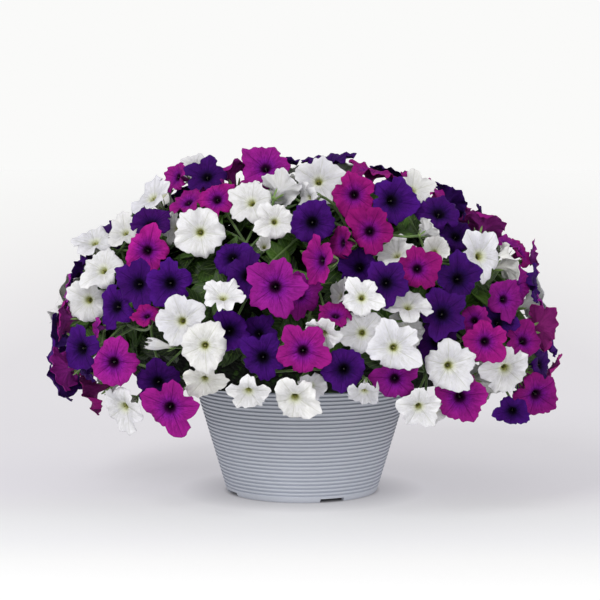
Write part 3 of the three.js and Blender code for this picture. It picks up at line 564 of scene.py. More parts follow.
def read_blooms(mesh):
    """The blooms of a spray: each has a well at the foot of a regular five-sided throat."""
    blooms = []
    for well in mesh.verts:
        throat = neighbours(well)
        if len(throat) != 5:
            continue
        middle = middle_of([v.co for v in throat])
        reaches = [(v.co - middle).length for v in throat]
        depth = (middle - well.co).length
        slope = (WELL_DEPTH - THROAT_DEPTH) / THROAT_REACH
        if max(reaches) - min(reaches) > 0.01 * MM or abs(depth - slope * reaches[0]) > 0.03 * MM:
            continue
        normal = (middle - well.co).normalized()
        radius = reaches[0] / THROAT_REACH
        spoke = (throat[0].co - middle).normalized()
        known = {well, *throat}
        outwards = [square_to(v.co - middle, normal) for v in neighbours(throat[0])
                    if v not in known]
        outward = max(outwards, key=lambda way: way.normalized().dot(spoke))
        place = middle + normal * THROAT_DEPTH * radius
        blooms.append({
            "place": place, "normal": normal, "radius": radius, "spoke": spoke,
            "open": min(1.0, outward.length / radius),
            "end": place - normal * TUBE_LENGTH * FULLNESS * radius,
        })
    return blooms


def read_stalks(mesh, blooms):
    """Where the blooms' stalks leave their stem, and where that stem leaves the plant."""
    rings = []
    for bloom in blooms:
        end = bloom["place"] - bloom["normal"] * TUBE_LENGTH * bloom["radius"]
        rings.append([v for v in mesh.verts
                      if abs((v.co - end).length - NECK_RADIUS) < 0.03 * MM])
    necks = {corner for ring in rings for corner in ring}
    fork = set()
    for bloom, ring in zip(blooms, rings):
        for corner in ring:
            for other in neighbours(corner):
                offset = other.co - bloom["place"]
                on_tube = (offset.dot(bloom["normal"]) > -0.6 * bloom["radius"] and
                           square_to(offset, bloom["normal"]).length < 0.3 * bloom["radius"])
                if other not in necks and not on_tube:
                    fork.add(other)
    known = necks | fork
    feet = {other for corner in fork for other in neighbours(corner) if other not in known}
    fork_place = middle_of([v.co for v in fork])
    seat = middle_of([v.co for v in feet]) if feet else fork_place
    return fork_place, seat


def read_sprays():
    """Every spray: its node, colour and blooms, its fork, and its seat on the plant."""
    sprays = []
    for node in sorted(frame["nodes"]):
        if "_spray_" not in node:
            continue
        mesh = solid_of(node)
        blooms = read_blooms(mesh)
        if not blooms:
            raise RuntimeError(f"{node} has no bloom")
        fork, seat = read_stalks(mesh, blooms)
        sprays.append({"node": node, "hue": node.split("_")[0], "blooms": blooms,
                       "fork": fork.copy(), "seat": seat.copy()})
        mesh.free()
    return sprays


# ---- blooms ----

LOBES = 5
YOUNG_RADIUS = 13 * MM
STALK_RADIUS = 1.6 * MM
STALK_TIP_RADIUS = 1.9 * MM
YOUNG_POINT = 0.1
# The waved and notched outline stays inside the corners of the solid, so it is drawn this much
# larger.
FULLNESS = 1.06
# Rings of a bloom, as shares of its radius: over its face from the eye to the edge, back along
# its underside, and down its tube, where each also has its height.
FACE_RINGS = (0.05, 0.09, 0.125, 0.16, 0.21, 0.29, 0.40, 0.53, 0.67, 0.80, 0.91, 0.975, 1.0)
BACK_RINGS = (0.985, 0.88, 0.70, 0.50, 0.32, 0.22)
TUBE_RINGS = ((0.165, -0.42), (0.135, -0.62), (0.105, -0.80), (0.075, -0.93), (0.03, -0.95))
RING_COUNT = len(FACE_RINGS) + len(BACK_RINGS) + len(TUBE_RINGS)


def sleeve(sides, rings):
    """A ring of corners extruded upwards; gives the ring and the turn of every corner as well."""
    deselect()
    bpy.ops.mesh.primitive_circle_add(vertices=sides, radius=1, fill_type="NOTHING")
    set_mode("EDIT")
    bpy.ops.mesh.select_all(action="SELECT")
    for _ in range(rings - 1):
        bpy.ops.mesh.extrude_edges_move(TRANSFORM_OT_translate={"value": (0, 0, 1)})
    set_mode("OBJECT")
    co = corners(bpy.context.object.data)
    return bpy.context.object, np.rint(co[:, 2]).astype(int), np.arctan2(co[:, 1], co[:, 0])


def bloom_model(sides):
    """One bloom as a plain sleeve with a ring for each ring of the bloom, closed at its ends."""
    model, ring, turn = sleeve(sides, RING_COUNT)
    co = corners(model.data)
    order = np.lexsort((turn, ring))
    place_of = np.empty(len(order), int)
    place_of[order] = np.arange(len(order))
    faces = [tuple(int(place_of[v]) for v in p.vertices) for p in model.data.polygons]
    last = (RING_COUNT - 1) * sides
    faces.append(tuple(range(sides)))
    faces.append(tuple(range(last, last + sides))[::-1])
    mesh = bpy.data.meshes.new("bloom_model")
    mesh.from_pydata([tuple(co[k]) for k in order], [], faces)
    remove(model)
    model = linked("bloom_model", mesh)
    turns = turn[order]
    share = 0.5 * np.repeat(ring_reach(), sides)
    at = np.stack([0.5 + share * np.cos(turns), 0.5 + share * np.sin(turns)], 1)
    lay_uv(mesh, own_layers(mesh, "petal"), at)
    smooth(model)
    return model, turns.reshape(RING_COUNT, sides)[0]


def ring_reach():
    """How far along the skin each ring lies: 0 to 0.5 over the face, 0.5 to 1 behind it."""
    face = 0.5 * np.array(FACE_RINGS)
    back = 0.5 + 0.3 * (1 - np.array(BACK_RINGS))
    return np.concatenate([face, back, np.linspace(0.772, 0.972, len(TUBE_RINGS))])


def bloom_shape(turns, draw, opened, point):
    """Corners of a bloom of radius 1 that faces +Z, ring by ring; point makes it a star."""
    sector = 2 * math.pi / LOBES
    lobe = np.rint(turns / sector).astype(int) % LOBES
    notch = np.floor(turns / sector).astype(int) % LOBES
    off = turns - np.rint(turns / sector) * sector
    # 0 on the midrib of a lobe, 1 in the notch between two lobes.
    u = np.abs(off) / (sector / 2)
    within = 1 - u * u
    near_notch = np.exp(-((1 - u) / 0.24) ** 2)
    # Each lobe has its own length, point, bend and notch.
    outline = (1 - draw.uniform(0.06, 0.17) * u ** 1.5
               + draw.uniform(-0.12, 0.02, LOBES)[lobe] * within
               + (draw.uniform(0.03, 0.14, LOBES) + point)[lobe] * np.exp(-(u / 0.22) ** 2)
               - (draw.uniform(0.08, 0.30, LOBES) + 2 * point)[notch] * near_notch
               + 0.024 * np.sin(draw.integers(17, 21) * turns + draw.uniform(0, 6.28))
               + 0.012 * np.sin(draw.integers(23, 28) * turns + draw.uniform(0, 6.28)))
    bend = draw.uniform(-0.32, 0.08, LOBES)
    if draw.uniform() < 0.45:
        bend[draw.integers(LOBES)] -= draw.uniform(0.15, 0.45)
    bend = bend[lobe] * within
    raised = draw.uniform(-0.01, 0.09, LOBES)[notch] * near_notch
    waves = sum(draw.uniform(0.3, 1.0) * np.sin(k * turns + draw.uniform(0, 6.28))
                for k in (7, 9, 12, 14, 17, 21))
    frill = draw.uniform(0.018, 0.036)
    crease = draw.uniform(0.035, 0.08) * np.exp(-(off / 0.15) ** 2)
    fold = draw.uniform(0.02, 0.055) * np.cos(2 * LOBES * turns)
    lean = draw.uniform(-0.06, 0.06) * np.cos(turns + draw.uniform(0, 6.28))
    # The limb closes up like an umbrella as it is less open.
    lift = math.sqrt(max(0.0, 1 - opened * opened))

    def on_face(r):
        s = max(0.0, (r - THROAT_REACH) / (1 - THROAT_REACH))
        height = (-0.28 * (1 - s) ** 1.9 - 0.05 * s ** 1.5 + bend * s ** 3 + raised * s ** 2.5
                  + frill * s ** 3 * waves - crease * math.sin(math.pi * min(1, s + 0.15))
                  + fold * s * s + lean * s ** 2 + lift * s)
        if r < THROAT_REACH:
            height = height - 2.4 * (THROAT_REACH - r)
        reach = r * (1 + (outline - 1) * s ** 2) * (1 - (1 - opened) * s)
        return reach * (1 - 0.6 * np.clip(-bend * s ** 3, 0, 1)), height

    rows = [on_face(r) for r in FACE_RINGS]
    for r in BACK_RINGS:
        reach, height = on_face(r)
        rows.append((reach, height - 0.020 - 0.06 * (1 - r) ** 2))
    for r, z in TUBE_RINGS:
        rows.append((np.full_like(turns, r), np.full_like(turns, z)))
    co = np.empty((RING_COUNT, len(turns), 3))
    for k, (reach, height) in enumerate(rows):
        co[k, :, 0] = reach * np.cos(turns)
        co[k, :, 1] = reach * np.sin(turns)
        co[k, :, 2] = height
    return co.reshape(-1, 3)


def bloom_frame(bloom):
    """The matrix that stands a bloom of radius 1 in its place."""
    normal, spoke = bloom["normal"], bloom["spoke"]
    size = bloom["radius"] * FULLNESS
    axes = [size * np.array(way) for way in (spoke, normal.cross(spoke), normal)]
    return frame_of(*axes, bloom["place"])


def calyx_model():
    """Five strap-like sepals that stand out from the foot of the tube."""
    # Of the rings up a sepal: how far each rises above the last, how far out it stands, and how
    # much narrower than its fifth of the circle it is.
    rises = (0.03, 0.06, 0.11, 0.13, 0.12)
    reaches = (0.035, 0.095, 0.135, 0.20, 0.28, 0.33)
    narrow = (0.0, 0.0, 0.45, 0.55, 0.68, 0.93)
    model, level, turn = sleeve(LOBES * 5, len(reaches))
    sector = np.rint(turn / (2 * math.pi / LOBES))
    heights = -1.0 + np.concatenate(([0.0], np.cumsum(rises)))
    reach = np.array(reaches)[level]
    middle = sector * 2 * math.pi / LOBES
    turned = middle + (turn - middle) * (1 - np.array(narrow)[level])
    set_corners(model.data, np.stack([reach * np.cos(turned), reach * np.sin(turned),
                                      heights[level]], 1))
    # The sepals are joined only in their lowest part.
    pick(model)
    set_mode("EDIT")
    bpy.ops.mesh.select_all(action="DESELECT")
    set_mode("OBJECT")
    for face in model.data.polygons:
        split = len({sector[v] % LOBES for v in face.vertices}) > 1
        face.select = split and max(level[v] for v in face.vertices) > 2
    set_mode("EDIT")
    bpy.ops.mesh.select_mode(type="FACE")
    bpy.ops.mesh.delete(type="FACE")
    set_mode("OBJECT")
    own_layers(model.data, "petal")
    thick = model.modifiers.new("thick", "SOLIDIFY")
    thick.thickness = 0.025
    thick.offset = 0
    apply_all(model)
    smooth(model)
    return model


def stamen_model():
    """The stigma on its style, low in the throat."""
    deselect()
    bpy.ops.mesh.primitive_cone_add(vertices=6, radius1=0.012, radius2=0.018, depth=0.2,
                                    location=(0, 0, -0.38))
    stalk = bpy.context.object
    bpy.ops.mesh.primitive_uv_sphere_add(segments=8, ring_count=5, radius=0.03,
                                         location=(0, 0, -0.29))
    head = bpy.context.object
    for piece in (stalk, head):
        settle_transform(piece)
    model = joined([stalk, head], "stamen_model")
    own_layers(model.data, "petal")
    smooth(model)
    return model


def stalk_curve(name, paths):
    """Stalks and stems as bevelled curves, made into one mesh."""
    curve = bpy.data.curves.new(name, "CURVE")
    curve.dimensions = "3D"
    curve.bevel_depth = 1.0
    curve.bevel_resolution = 1
    curve.use_fill_caps = True
    for points, radii in paths:
        spline = curve.splines.new("POLY")
        spline.points.add(len(points) - 1)
        for target, point, radius in zip(spline.points, points, radii):
            target.co = (*point, 1)
            target.radius = radius
    pick(linked(name, curve))
    bpy.ops.object.convert(target="MESH")
    piece = bpy.context.object
    own_layers(piece.data, "petal")
    smooth(piece)
    return piece


def bent_path(start, leaving, end, arriving):
    """A smooth path that leaves one way and arrives another, in seven steps."""
    span = (end - start).length
    first = start + leaving * span * 0.4
    second = end - arriving * span * 0.4
    points = []
    for k in range(8):
        t = k / 7
        points.append((1 - t) ** 3 * start + 3 * (1 - t) ** 2 * t * first
                      + 3 * (1 - t) * t * t * second + t ** 3 * end)
    return points


def spray_piece(spray, models, materials, draw):
    """One spray of blooms on its stalks, in the place of its solid."""
    pieces = []
    hue = spray["hue"]
    model, turns = models["bloom"]
    for bloom in spray["blooms"]:
        point = YOUNG_POINT if bloom["radius"] < YOUNG_RADIUS else 0.0
        co = bloom_shape(turns, draw, bloom["open"], point)
        matrix = bloom_frame(bloom)
        petals = placed_copy(model, "petals", co, matrix, materials[hue])
        set_tone(petals.data, draw.uniform(-0.3, 0.55))
        pieces.append(petals)
        # The violet and magenta blooms take the stamen with painted shade.
        for name, kind in (("calyx", "sepal"),
                           ("stamen", "stamen" if hue == "white" else "shaded_stamen")):
            co = corners(models[name].data)
            pieces.append(placed_copy(models[name], name, co, matrix, materials[kind]))
    fork, seat = spray["fork"], spray["seat"]
    paths = []
    away = fork - seat
    lone = away.length < 0.5 * MM
    away = ((spray["blooms"][0]["end"] - seat) if lone else away).normalized()
    for bloom in spray["blooms"]:
        end = bloom["end"] + bloom["normal"] * 0.02 * bloom["radius"]
        line = (end - fork).normalized()
        points = bent_path(fork, (line * 1.4 + away * 0.5).normalized(), end,
                           (bloom["normal"] + line).normalized())
        paths.append((points, [STALK_RADIUS] * (len(points) - 1) + [STALK_TIP_RADIUS]))
    # A stem runs on into the plant, from a fork or, under a lone bloom, from its stalk.
    if lone:
        paths.append(([seat - away * 22 * MM, seat + away * 1 * MM], [1.9 * MM, 1.7 * MM]))
    else:
        points = [seat - away * 26 * MM, seat, fork + away * 1.5 * MM]
        paths.append((points, [2.6 * MM, 2.3 * MM, 1.9 * MM]))
    stalks = stalk_curve("stalks", paths)
    stalks.data.materials.append(materials["stalk"])
    pieces.append(stalks)
    piece = joined(pieces, spray["node"] + "_petunias")
    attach(piece, ROOT)
    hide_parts(spray["node"])
    return piece


# ---- leaves ----

# How far a leaf's tip hangs below its root, as a share of its length.
BLADE_DROOP = 0.19
# Where leaves take root, counted in rings of the crown: all over it, or under it only.
WHOLE_BAND = (1.9, 8.6)
UNDERSIDE_BAND = (2.4, 5.2)
# A point inside the crown that every leaf faces away from.
MIDDLE = Vector((0, 0, 0.22))


def leaf_model():
    """A leaf blade on a grid: ovate, pointed, folded along its midrib, with a wavy edge."""
    deselect()
    bpy.ops.mesh.primitive_grid_add(x_subdivisions=4, y_subdivisions=7, size=2)
    model = settle_transform(bpy.context.object)
    mesh = model.data
    co = corners(mesh)
    u = co[:, 0].copy()
    v = (co[:, 1] + 1) / 2
    lay_uv(mesh, own_layers(mesh, "blade"), np.stack([(u + 1) / 2, v], 1))
    width = 0.5 * np.sin(np.pi * v ** 0.8) ** 0.75 * (1 - 0.25 * v) + 0.02
    co[:, 0] = u * width * 0.5
    co[:, 1] = v
    wave = 0.015 * np.sin(9 * v + 3 * u) * np.abs(u)
    co[:, 2] = 0.09 * np.abs(u) * width * 2 - BLADE_DROOP * v ** 2 + wave
    set_corners(mesh, co)
    mesh.name = model.name = "leaf_model"
    thick = model.modifiers.new("thick", "SOLIDIFY")
    thick.thickness = 0.012
    apply_all(model)
    smooth(model)
    return model


def crown_points(scale):
    """A function that gives a point of the inner mass's surface.

    It takes how far up the point lies, counted in rings, and its angle round the middle.
    """
    rings = np.array(CROWN_RINGS, float) * MM

    def at(t, angle):
        k = min(int(t), len(rings) - 2)
        f = t - k
        half_width, half_depth, z = rings[k] * (1 - f) + rings[k + 1] * f
        return Vector((half_width * math.cos(angle) * scale, half_depth * math.sin(angle) * scale,
                       CROWN_CENTRE + (z - CROWN_CENTRE) * scale))
    return at


def thicket_piece(material):
    """The dark inner mass, painted in the shade deep inside the plant, modelled as a sphere pushed
    out to the rings of the crown.
    """
    deselect()
    bpy.ops.mesh.primitive_uv_sphere_add(segments=72, ring_count=40, radius=1)
    piece = bpy.context.object
    co = corners(piece.data)
    at = crown_points(0.90)
    last = len(CROWN_RINGS) - 1
    for k, (x, y, z) in enumerate(co):
        angle = math.atan2(y, x)
        t = (math.acos(max(-1, min(1, -z))) / math.pi) * last
        co[k] = at(min(t, last - 1e-6), angle)
        if t < 0.4:
            co[k][:2] *= t / 0.4
    set_corners(piece.data, co)
    piece.name = piece.data.name = "inner_thicket"
    while piece.data.uv_layers:
        piece.data.uv_layers.remove(piece.data.uv_layers[0])
    piece.data.materials.append(material)
    smooth(piece)
    return piece


def tree_of(pieces):
    """One search tree over several pieces, to keep leaves clear of petals."""
    points, faces = [], []
    for piece in pieces:
        first = len(points)
        points.extend(v.co.copy() for v in piece.data.vertices)
        faces.extend(tuple(first + v for v in p.vertices) for p in piece.data.polygons)
    return BVHTree.FromPolygons(points, faces)


def leaf_places(count, tree, draw, blade_size, scale, leans, kept_clear):
    """Seeded places for leaves on the inner mass; those kept clear meet no petal."""
    length, width = blade_size
    at = crown_points(scale)
    blade = []
    for i in range(5):
        for j in (-1, 0, 1):
            v = i / 4
            blade.append((0.5 * j * width * math.sin(math.pi * min(0.95, v + 0.08)) * 0.9,
                          v * length, -BLADE_DROOP * v * v * length))
    quads = [(3 * i + j, 3 * i + j + 1, 3 * i + j + 4, 3 * i + j + 3)
             for i in range(4) for j in range(2)]
    found = []
    tries = 0
    while len(found) < count and tries < count * 12:
        tries += 1
        # Half of the inner leaves hide the underside of the plant over the rim of the bowl.
        low = not kept_clear and draw.uniform() < 0.5
        t = draw.uniform(*(UNDERSIDE_BAND if low else WHOLE_BAND))
        angle = draw.uniform(0, 2 * math.pi)
        root = at(t, angle)
        ahead = at(min(t + 0.2, 8.9), angle)
        beside = at(t, angle + 0.05)
        normal = (beside - root).cross(ahead - root).normalized()
        if normal.dot(root - MIDDLE) < 0:
            normal.negate()
        level, other = across(normal)
        swing = draw.uniform(0, 2 * math.pi)
        lean = draw.uniform(*leans)
        along = (normal * lean + level * math.cos(swing) + other * math.sin(swing)).normalized()
        side = along.cross(normal).normalized()
        up = side.cross(along)
        size = draw.uniform(0.75, 1.2)
        matrix = frame_of(side, along, up, root)
        points = [matrix @ (Vector(p) * size) for p in blade]
        over_bowl = OUTER_OVER_BOWL if kept_clear else INNER_OVER_BOWL
        if any(p.z < (over_bowl if math.hypot(p.x, p.y) < BOWL_SWEEP else LOWEST_BEYOND)
               for p in points):
            continue
        if kept_clear and tree.overlap(BVHTree.FromPolygons(points, quads)):
            continue
        found.append((matrix, size))
    return found


def leaves_piece(name, places, model, material, blade_size, draw, tones):
    """The leaves at their places as one piece, each curled and toned by its own draws."""
    length, width = blade_size
    pieces = []
    base = corners(model.data)
    for matrix, size in places:
        co = base * np.array((width * 2 * size, length * size, length * size))
        co[:, 0] += draw.uniform(-0.12, 0.12) * co[:, 1] ** 2 / (length * size)
        leaf = placed_copy(model, "leaf", co, matrix, material)
        set_tone(leaf.data, draw.uniform(*tones))
        pieces.append(leaf)
    return joined(pieces, name)


# ---- bowl and soil ----

def bowl_radius(z):
    """Half the width of the bowl at a height, without its ribs."""
    return FOOT_RADIUS + (RIM_RADIUS - FOOT_RADIUS) * (z / BOWL_HEIGHT)


def bowl_profile():
    """Half section of the bowl, from the middle of its underside round to its floor inside."""
    inner = FOOT_RADIUS - FOOT_WIDTH
    points = [(0.0, UNDERSIDE), (inner, UNDERSIDE), (inner, 0.4 * MM), (inner + 0.4 * MM, 0.0),
              (FOOT_RADIUS - 1.6 * MM, 0.0), (FOOT_RADIUS - 0.2 * MM, 1.6 * MM),
              (bowl_radius(FOOT_BAND) - 0.3 * MM, FOOT_BAND - 0.6 * MM)]
    # One rib: where its corners lie, as shares of its height, and how deep in millimetres.
    rib_corners = ((0.04, 0.9), (0.16, 1.45), (0.32, 1.1), (0.5, 0.35), (0.68, 0.05),
                   (0.84, 0.1), (0.95, 0.5))
    for rib in range(RIB_COUNT):
        for share, depth in rib_corners:
            z = FOOT_BAND + (rib + share) * RIB_PITCH
            points.append((bowl_radius(z) - depth * MM, z))
    top = BOWL_HEIGHT
    floor = UNDERSIDE + FLOOR_THICKNESS
    points += [(bowl_radius(top - RIM_BAND) + 0.1 * MM, top - RIM_BAND + 0.6 * MM),
               (RIM_RADIUS - 0.1 * MM, top - 1.0 * MM), (RIM_RADIUS - 0.8 * MM, top),
               (RIM_RADIUS - WALL + 0.8 * MM, top), (RIM_RADIUS - WALL, top - 1.0 * MM),
               (bowl_radius(floor) - WALL, floor + 2 * MM),
               (bowl_radius(floor) - WALL - 2 * MM, floor), (0.0, floor)]
    return points


def turned_piece(name, profile, steps):
    """A half section spun once round the upright axis, with its seam and poles closed."""
    mesh = bpy.data.meshes.new(name)
    edges = [(k, k + 1) for k in range(len(profile) - 1)]
    mesh.from_pydata([(r, 0, z) for r, z in profile], edges, [])
    piece = linked(name, mesh)
    pick(piece)
    set_mode("EDIT")
    bpy.ops.mesh.select_all(action="SELECT")
    bpy.ops.mesh.spin(steps=steps, angle=2 * math.pi, center=(0, 0, 0), axis=(0, 0, 1))
    bpy.ops.mesh.select_all(action="SELECT")
    bpy.ops.mesh.remove_doubles(threshold=0.005 * MM)
    bpy.ops.mesh.normals_make_consistent(inside=False)
    set_mode("OBJECT")
    return piece


def cut_away(piece, tools):
    """Cuts each tool out of a piece, and removes it."""
    for tool in tools:
        cut = piece.modifiers.new("cut", "BOOLEAN")
        cut.object = tool
        cut.operation = "DIFFERENCE"
        cut.solver = "EXACT"
        apply_all(piece)
        remove(tool)


# ---- what a user would change ----

class BowlSettings(bpy.types.PropertyGroup):
    """The moulded bowl."""
    steps: IntProperty(name="Sides", description="Flat sides of the turned bowl", default=120,
                       min=24)
    # The colour between the ribs carries painted shade for the grooves.
    shaded_valley: FloatVectorProperty(name="Rib valleys", description="Colour between the ribs",
                                subtype="COLOR_GAMMA", size=3, default=(0.60, 0.62, 0.675))
    crest: FloatVectorProperty(name="Rib crests", description="Colour on the ribs",
                               subtype="COLOR_GAMMA", size=3, default=(0.84, 0.855, 0.885))


def petal_colour(hue):
    """A setting for the colour of the petals of one hue, from the eye's surround to the edge."""
    return FloatVectorProperty(name=f"{hue.capitalize()} petals", description="Colour of the face",
                               subtype="COLOR_GAMMA", size=3, default=shares(PETALS[hue]["face"]))


class BloomSettings(bpy.types.PropertyGroup):
    """The blooms."""
    sides: IntProperty(name="Corners", description="Corners round the edge of a bloom",
                       default=70, min=20)
    seed: IntProperty(name="Seed", description="Of the blooms' uneven shapes", default=7)
    white: petal_colour("white")
    violet: petal_colour("violet")
    magenta: petal_colour("magenta")


class LeafSettings(bpy.types.PropertyGroup):
    """The leaves."""
    length: FloatProperty(name="Length", description="Of a leaf blade", default=56 * MM,
                          subtype="DISTANCE", unit="LENGTH")
    width: FloatProperty(name="Width", description="Of a leaf blade", default=28 * MM,
                         subtype="DISTANCE", unit="LENGTH")
    outer: IntProperty(name="Outer leaves", description="Leaves between the blooms", default=430)
    inner: IntProperty(name="Inner leaves", description="Leaves close to the stems", default=680)
    seed: IntProperty(name="Seed", description="Of the leaves' places", default=11)


# ---- operators ----

class PETUNIA_OT_bowl(bpy.types.Operator):
    """Turn the ribbed bowl, with its drain notches and holes"""
    bl_idname = "petunia.bowl"
    bl_label = "Bowl"

    def execute(self, context):
        settings = context.scene.petunia_bowl
        piece = turned_piece("ribbed_bowl", bowl_profile(), settings.steps)
        tools = []
        for azimuth in NOTCH_AZIMUTHS:
            a = math.radians(azimuth)
            out = Vector((math.sin(a), -math.cos(a), 0))
            deselect()
            bpy.ops.mesh.primitive_cube_add(size=1, location=out * (FOOT_RADIUS - 2 * MM))
            notch = bpy.context.object
            notch.scale = NOTCH_SIZE
            notch.rotation_euler = (0, 0, math.atan2(out.y, out.x))
            settle_transform(notch)
            tools.append(notch)
            deselect()
            bpy.ops.mesh.primitive_cylinder_add(vertices=24, radius=DRAIN_RADIUS, depth=20 * MM,
                                                location=out * DRAIN_CIRCLE)
            tools.append(settle_transform(bpy.context.object))
        cut_away(piece, tools)
        piece.data.materials.append(bowl_material(hexes(settings.shaded_valley), hexes(settings.crest)))
        pick(piece)
        bpy.ops.object.shade_smooth_by_angle(angle=math.radians(35))
        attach(piece, ROOT)
        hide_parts("bowl")
        return {"FINISHED"}


class PETUNIA_OT_soil(bpy.types.Operator):
    """Fill the bowl with crumbly potting mix"""
    bl_idname = "petunia.soil"
    bl_label = "Soil"

    def execute(self, context):
        bottom, edge, top = 7.4 * MM, 164 * MM, 168 * MM

        def reach(z):
            return bowl_radius(z) - WALL - 1.2 * MM
        rim = reach(edge)
        profile = [(0, bottom), (reach(bottom), bottom), (rim, edge)]
        profile += [(rim * (1 - k / 16), edge + (top - edge) * min(1, k / 3)) for k in range(1, 16)]
        profile.append((0, top))
        piece = turned_piece("potting_mix", profile, 72)
        co = corners(piece.data)
        draw = np.random.default_rng(5)
        loose = co[:, 2] > edge - 1 * MM
        co[loose, 2] += draw.uniform(-1.6 * MM, 1.0 * MM, int(loose.sum()))
        set_corners(piece.data, co)
        piece.data.materials.append(soil_material())
        smooth(piece)
        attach(piece, ROOT)
        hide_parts("soil")
        return {"FINISHED"}


class PETUNIA_OT_sprays(bpy.types.Operator):
    """Grow every spray of blooms on its stalks, where the solids stand"""
    bl_idname = "petunia.sprays"
    bl_label = "Sprays"

    def execute(self, context):
        settings = context.scene.petunia_blooms
        draw = np.random.default_rng(settings.seed)
        materials = {}
        for hue, tones in PETALS.items():
            face = hexes(getattr(settings, hue))
            materials[hue] = petal_material(hue, {**tones, "face": face})
        materials.update((part, green_material(*look)) for part, look in GREENS.items())
        models = {"bloom": bloom_model(settings.sides), "calyx": calyx_model(),
                  "stamen": stamen_model()}
        for spray in read_sprays():
            spray_piece(spray, models, materials, draw)
        remove(models["bloom"][0], models["calyx"], models["stamen"])
        return {"FINISHED"}


class PETUNIA_OT_crown(bpy.types.Operator):
    """Grow the stems and leaves under the blooms, the outer leaves clear of every petal"""
    bl_idname = "petunia.crown"
    bl_label = "Stems and leaves"

    def execute(self, context):
        settings = context.scene.petunia_leaves
        draw = np.random.default_rng(settings.seed)
        tree = tree_of([o for o in context.scene.objects if o.name.endswith("_petunias")])
        blade_size = (settings.length, settings.width)
        model = leaf_model()
        material = leaf_material()
        grown = []
        # The inner leaves take darker tones than the outer ones: painted shade, deep inside the
        # plant.
        for name, count, scale, leans, kept_clear, tones in (
                ("outer_leaves", settings.outer, 0.99, (0.3, 1.5), True, (0.1, 0.85)),
                ("inner_leaves", settings.inner, 0.93, (0.1, 0.35), False, (-0.2, 0.4))):
            places = leaf_places(count, tree, draw, blade_size, scale, leans, kept_clear)
            grown.append(leaves_piece(name, places, model, material, blade_size, draw, tones))
        leaves, under = grown
        thicket = thicket_piece(thicket_material())
        paths = []
        for k in range(STEM_COUNT):
            a = 2 * math.pi * (k + 0.25) / STEM_COUNT
            foot, top = (Vector((r * math.cos(a), r * math.sin(a), z))
                         for r, z in (STEM_FOOT, STEM_TOP))
            points = bent_path(foot, Vector((0, 0, 1)), top, (top - foot).normalized())
            paths.append((points, [6.5 * MM - 0.3 * MM * n for n in range(len(points))]))
        stems = stalk_curve("main_stems", paths)
        stems.data.materials.append(green_material(*WOODY_STEM))
        for piece in (leaves, under, thicket, stems):
            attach(piece, ROOT)
        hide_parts("leafy_crown")
        remove(model)
        return {"FINISHED"}


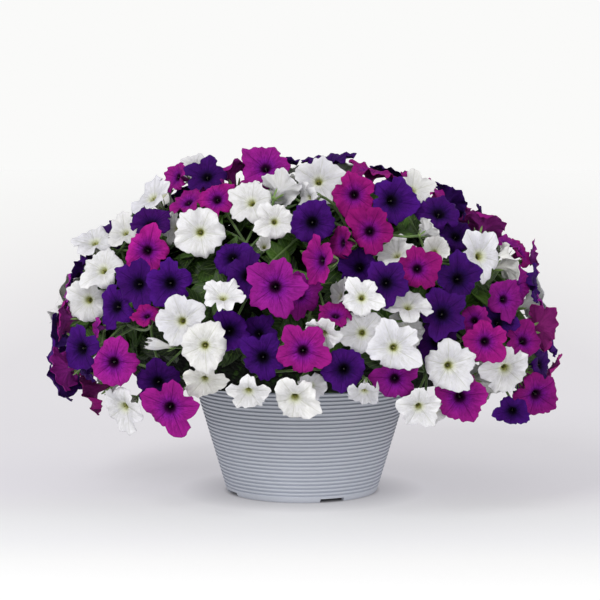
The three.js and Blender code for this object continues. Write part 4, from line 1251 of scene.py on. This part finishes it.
class PETUNIA_OT_stage(bpy.types.Operator):
    """Set the camera, the soft lights and the pale floor"""
    bl_idname = "petunia.stage"
    bl_label = "Stage"

    def execute(self, context):
        scene = context.scene
        # The focal length in pixels, and the lens for a film 36 mm wide.
        focal = CAMERA_DISTANCE / (MM_PER_PIXEL * MM)
        camera = bpy.data.cameras.new("camera")
        camera.sensor_width = 36
        camera.lens = 36 * focal / PICTURE_SIDE
        camera.clip_end = 120
        view = linked("camera", camera)
        pitch = CAMERA_FALL - math.atan((FOOT_ROW - PICTURE_SIDE / 2) / focal)
        view.location = (CAMERA_SIDE, -CAMERA_DISTANCE * math.cos(CAMERA_FALL),
                         CAMERA_DISTANCE * math.sin(CAMERA_FALL))
        view.rotation_euler = (math.pi / 2 - pitch, 0, 0)
        scene.camera = view

        world = bpy.data.worlds.new("studio")
        world.use_nodes = True
        tree = world.node_tree
        background = tree.nodes["Background"]
        background.inputs[0].default_value = colour("#FFFFFF")
        background.inputs[1].default_value = 0.53
        # What the camera sees of it is paler than what it lights with.
        seen = add_node(tree, "Background", "#FAFAF9", 1.0)
        ray = add_node(tree, "LightPath", out="Is Camera Ray")
        blend = add_node(tree, "MixShader", ray, background.outputs[0], seen)
        feed(tree.nodes["World Output"], Surface=blend)
        scene.world = world

        for name, place, aim, size, watts in (
                ("key", (-1.2, -2.0, 2.2), (0, 0, 0.25), (1.1, 1.1), 44),
                ("fill", (1.8, -1.6, 1.2), (0, 0, 0.2), (1.2, 1.2), 6),
                ("low", (0.3, -2.7, 0.7), (0, 0, 0.2), (1.4, 0.7), 9)):
            light = bpy.data.lights.new(name, "AREA")
            light.shape = "RECTANGLE"
            light.size, light.size_y = size
            light.energy = watts
            lamp = linked(name, light)
            lamp.location = place
            lamp.rotation_euler = (Vector(aim) - Vector(place)).to_track_quat("-Z", "Y").to_euler()

        deselect()
        bpy.ops.mesh.primitive_circle_add(vertices=128, radius=45, fill_type="NGON")
        floor = bpy.context.object
        floor.name = "floor"
        floor.data.materials.append(floor_material())
        scene.view_settings.view_transform = "Standard"
        return {"FINISHED"}


class PETUNIA_PT_panel(bpy.types.Panel):
    """Every step, in order"""
    bl_idname = "PETUNIA_PT_panel"
    bl_label = "Potted petunias"
    bl_space_type = "VIEW_3D"
    bl_region_type = "UI"
    bl_category = "Petunias"

    def draw(self, context):
        for group in ("petunia_bowl", "petunia_blooms", "petunia_leaves"):
            settings = getattr(context.scene, group)
            box = self.layout.box()
            for name in settings.__annotations__:
                box.prop(settings, name)
        for operator in STEPS:
            self.layout.operator(operator.bl_idname)


STEPS = (PETUNIA_OT_stage, PETUNIA_OT_bowl, PETUNIA_OT_soil, PETUNIA_OT_sprays, PETUNIA_OT_crown)
CLASSES = (BowlSettings, BloomSettings, LeafSettings, *STEPS, PETUNIA_PT_panel)


def register():
    for cls in CLASSES:
        bpy.utils.register_class(cls)
    bpy.types.Scene.petunia_bowl = PointerProperty(type=BowlSettings)
    bpy.types.Scene.petunia_blooms = PointerProperty(type=BloomSettings)
    bpy.types.Scene.petunia_leaves = PointerProperty(type=LeafSettings)


def unregister():
    del bpy.types.Scene.petunia_leaves
    del bpy.types.Scene.petunia_blooms
    del bpy.types.Scene.petunia_bowl
    for cls in reversed(CLASSES):
        bpy.utils.unregister_class(cls)


def main():
    register()
    for step in (bpy.ops.petunia.stage, bpy.ops.petunia.bowl, bpy.ops.petunia.soil,
                 bpy.ops.petunia.sprays, bpy.ops.petunia.crown):
        step()
    bpy.context.view_layer.update()


if __name__ == "__main__":
    main()
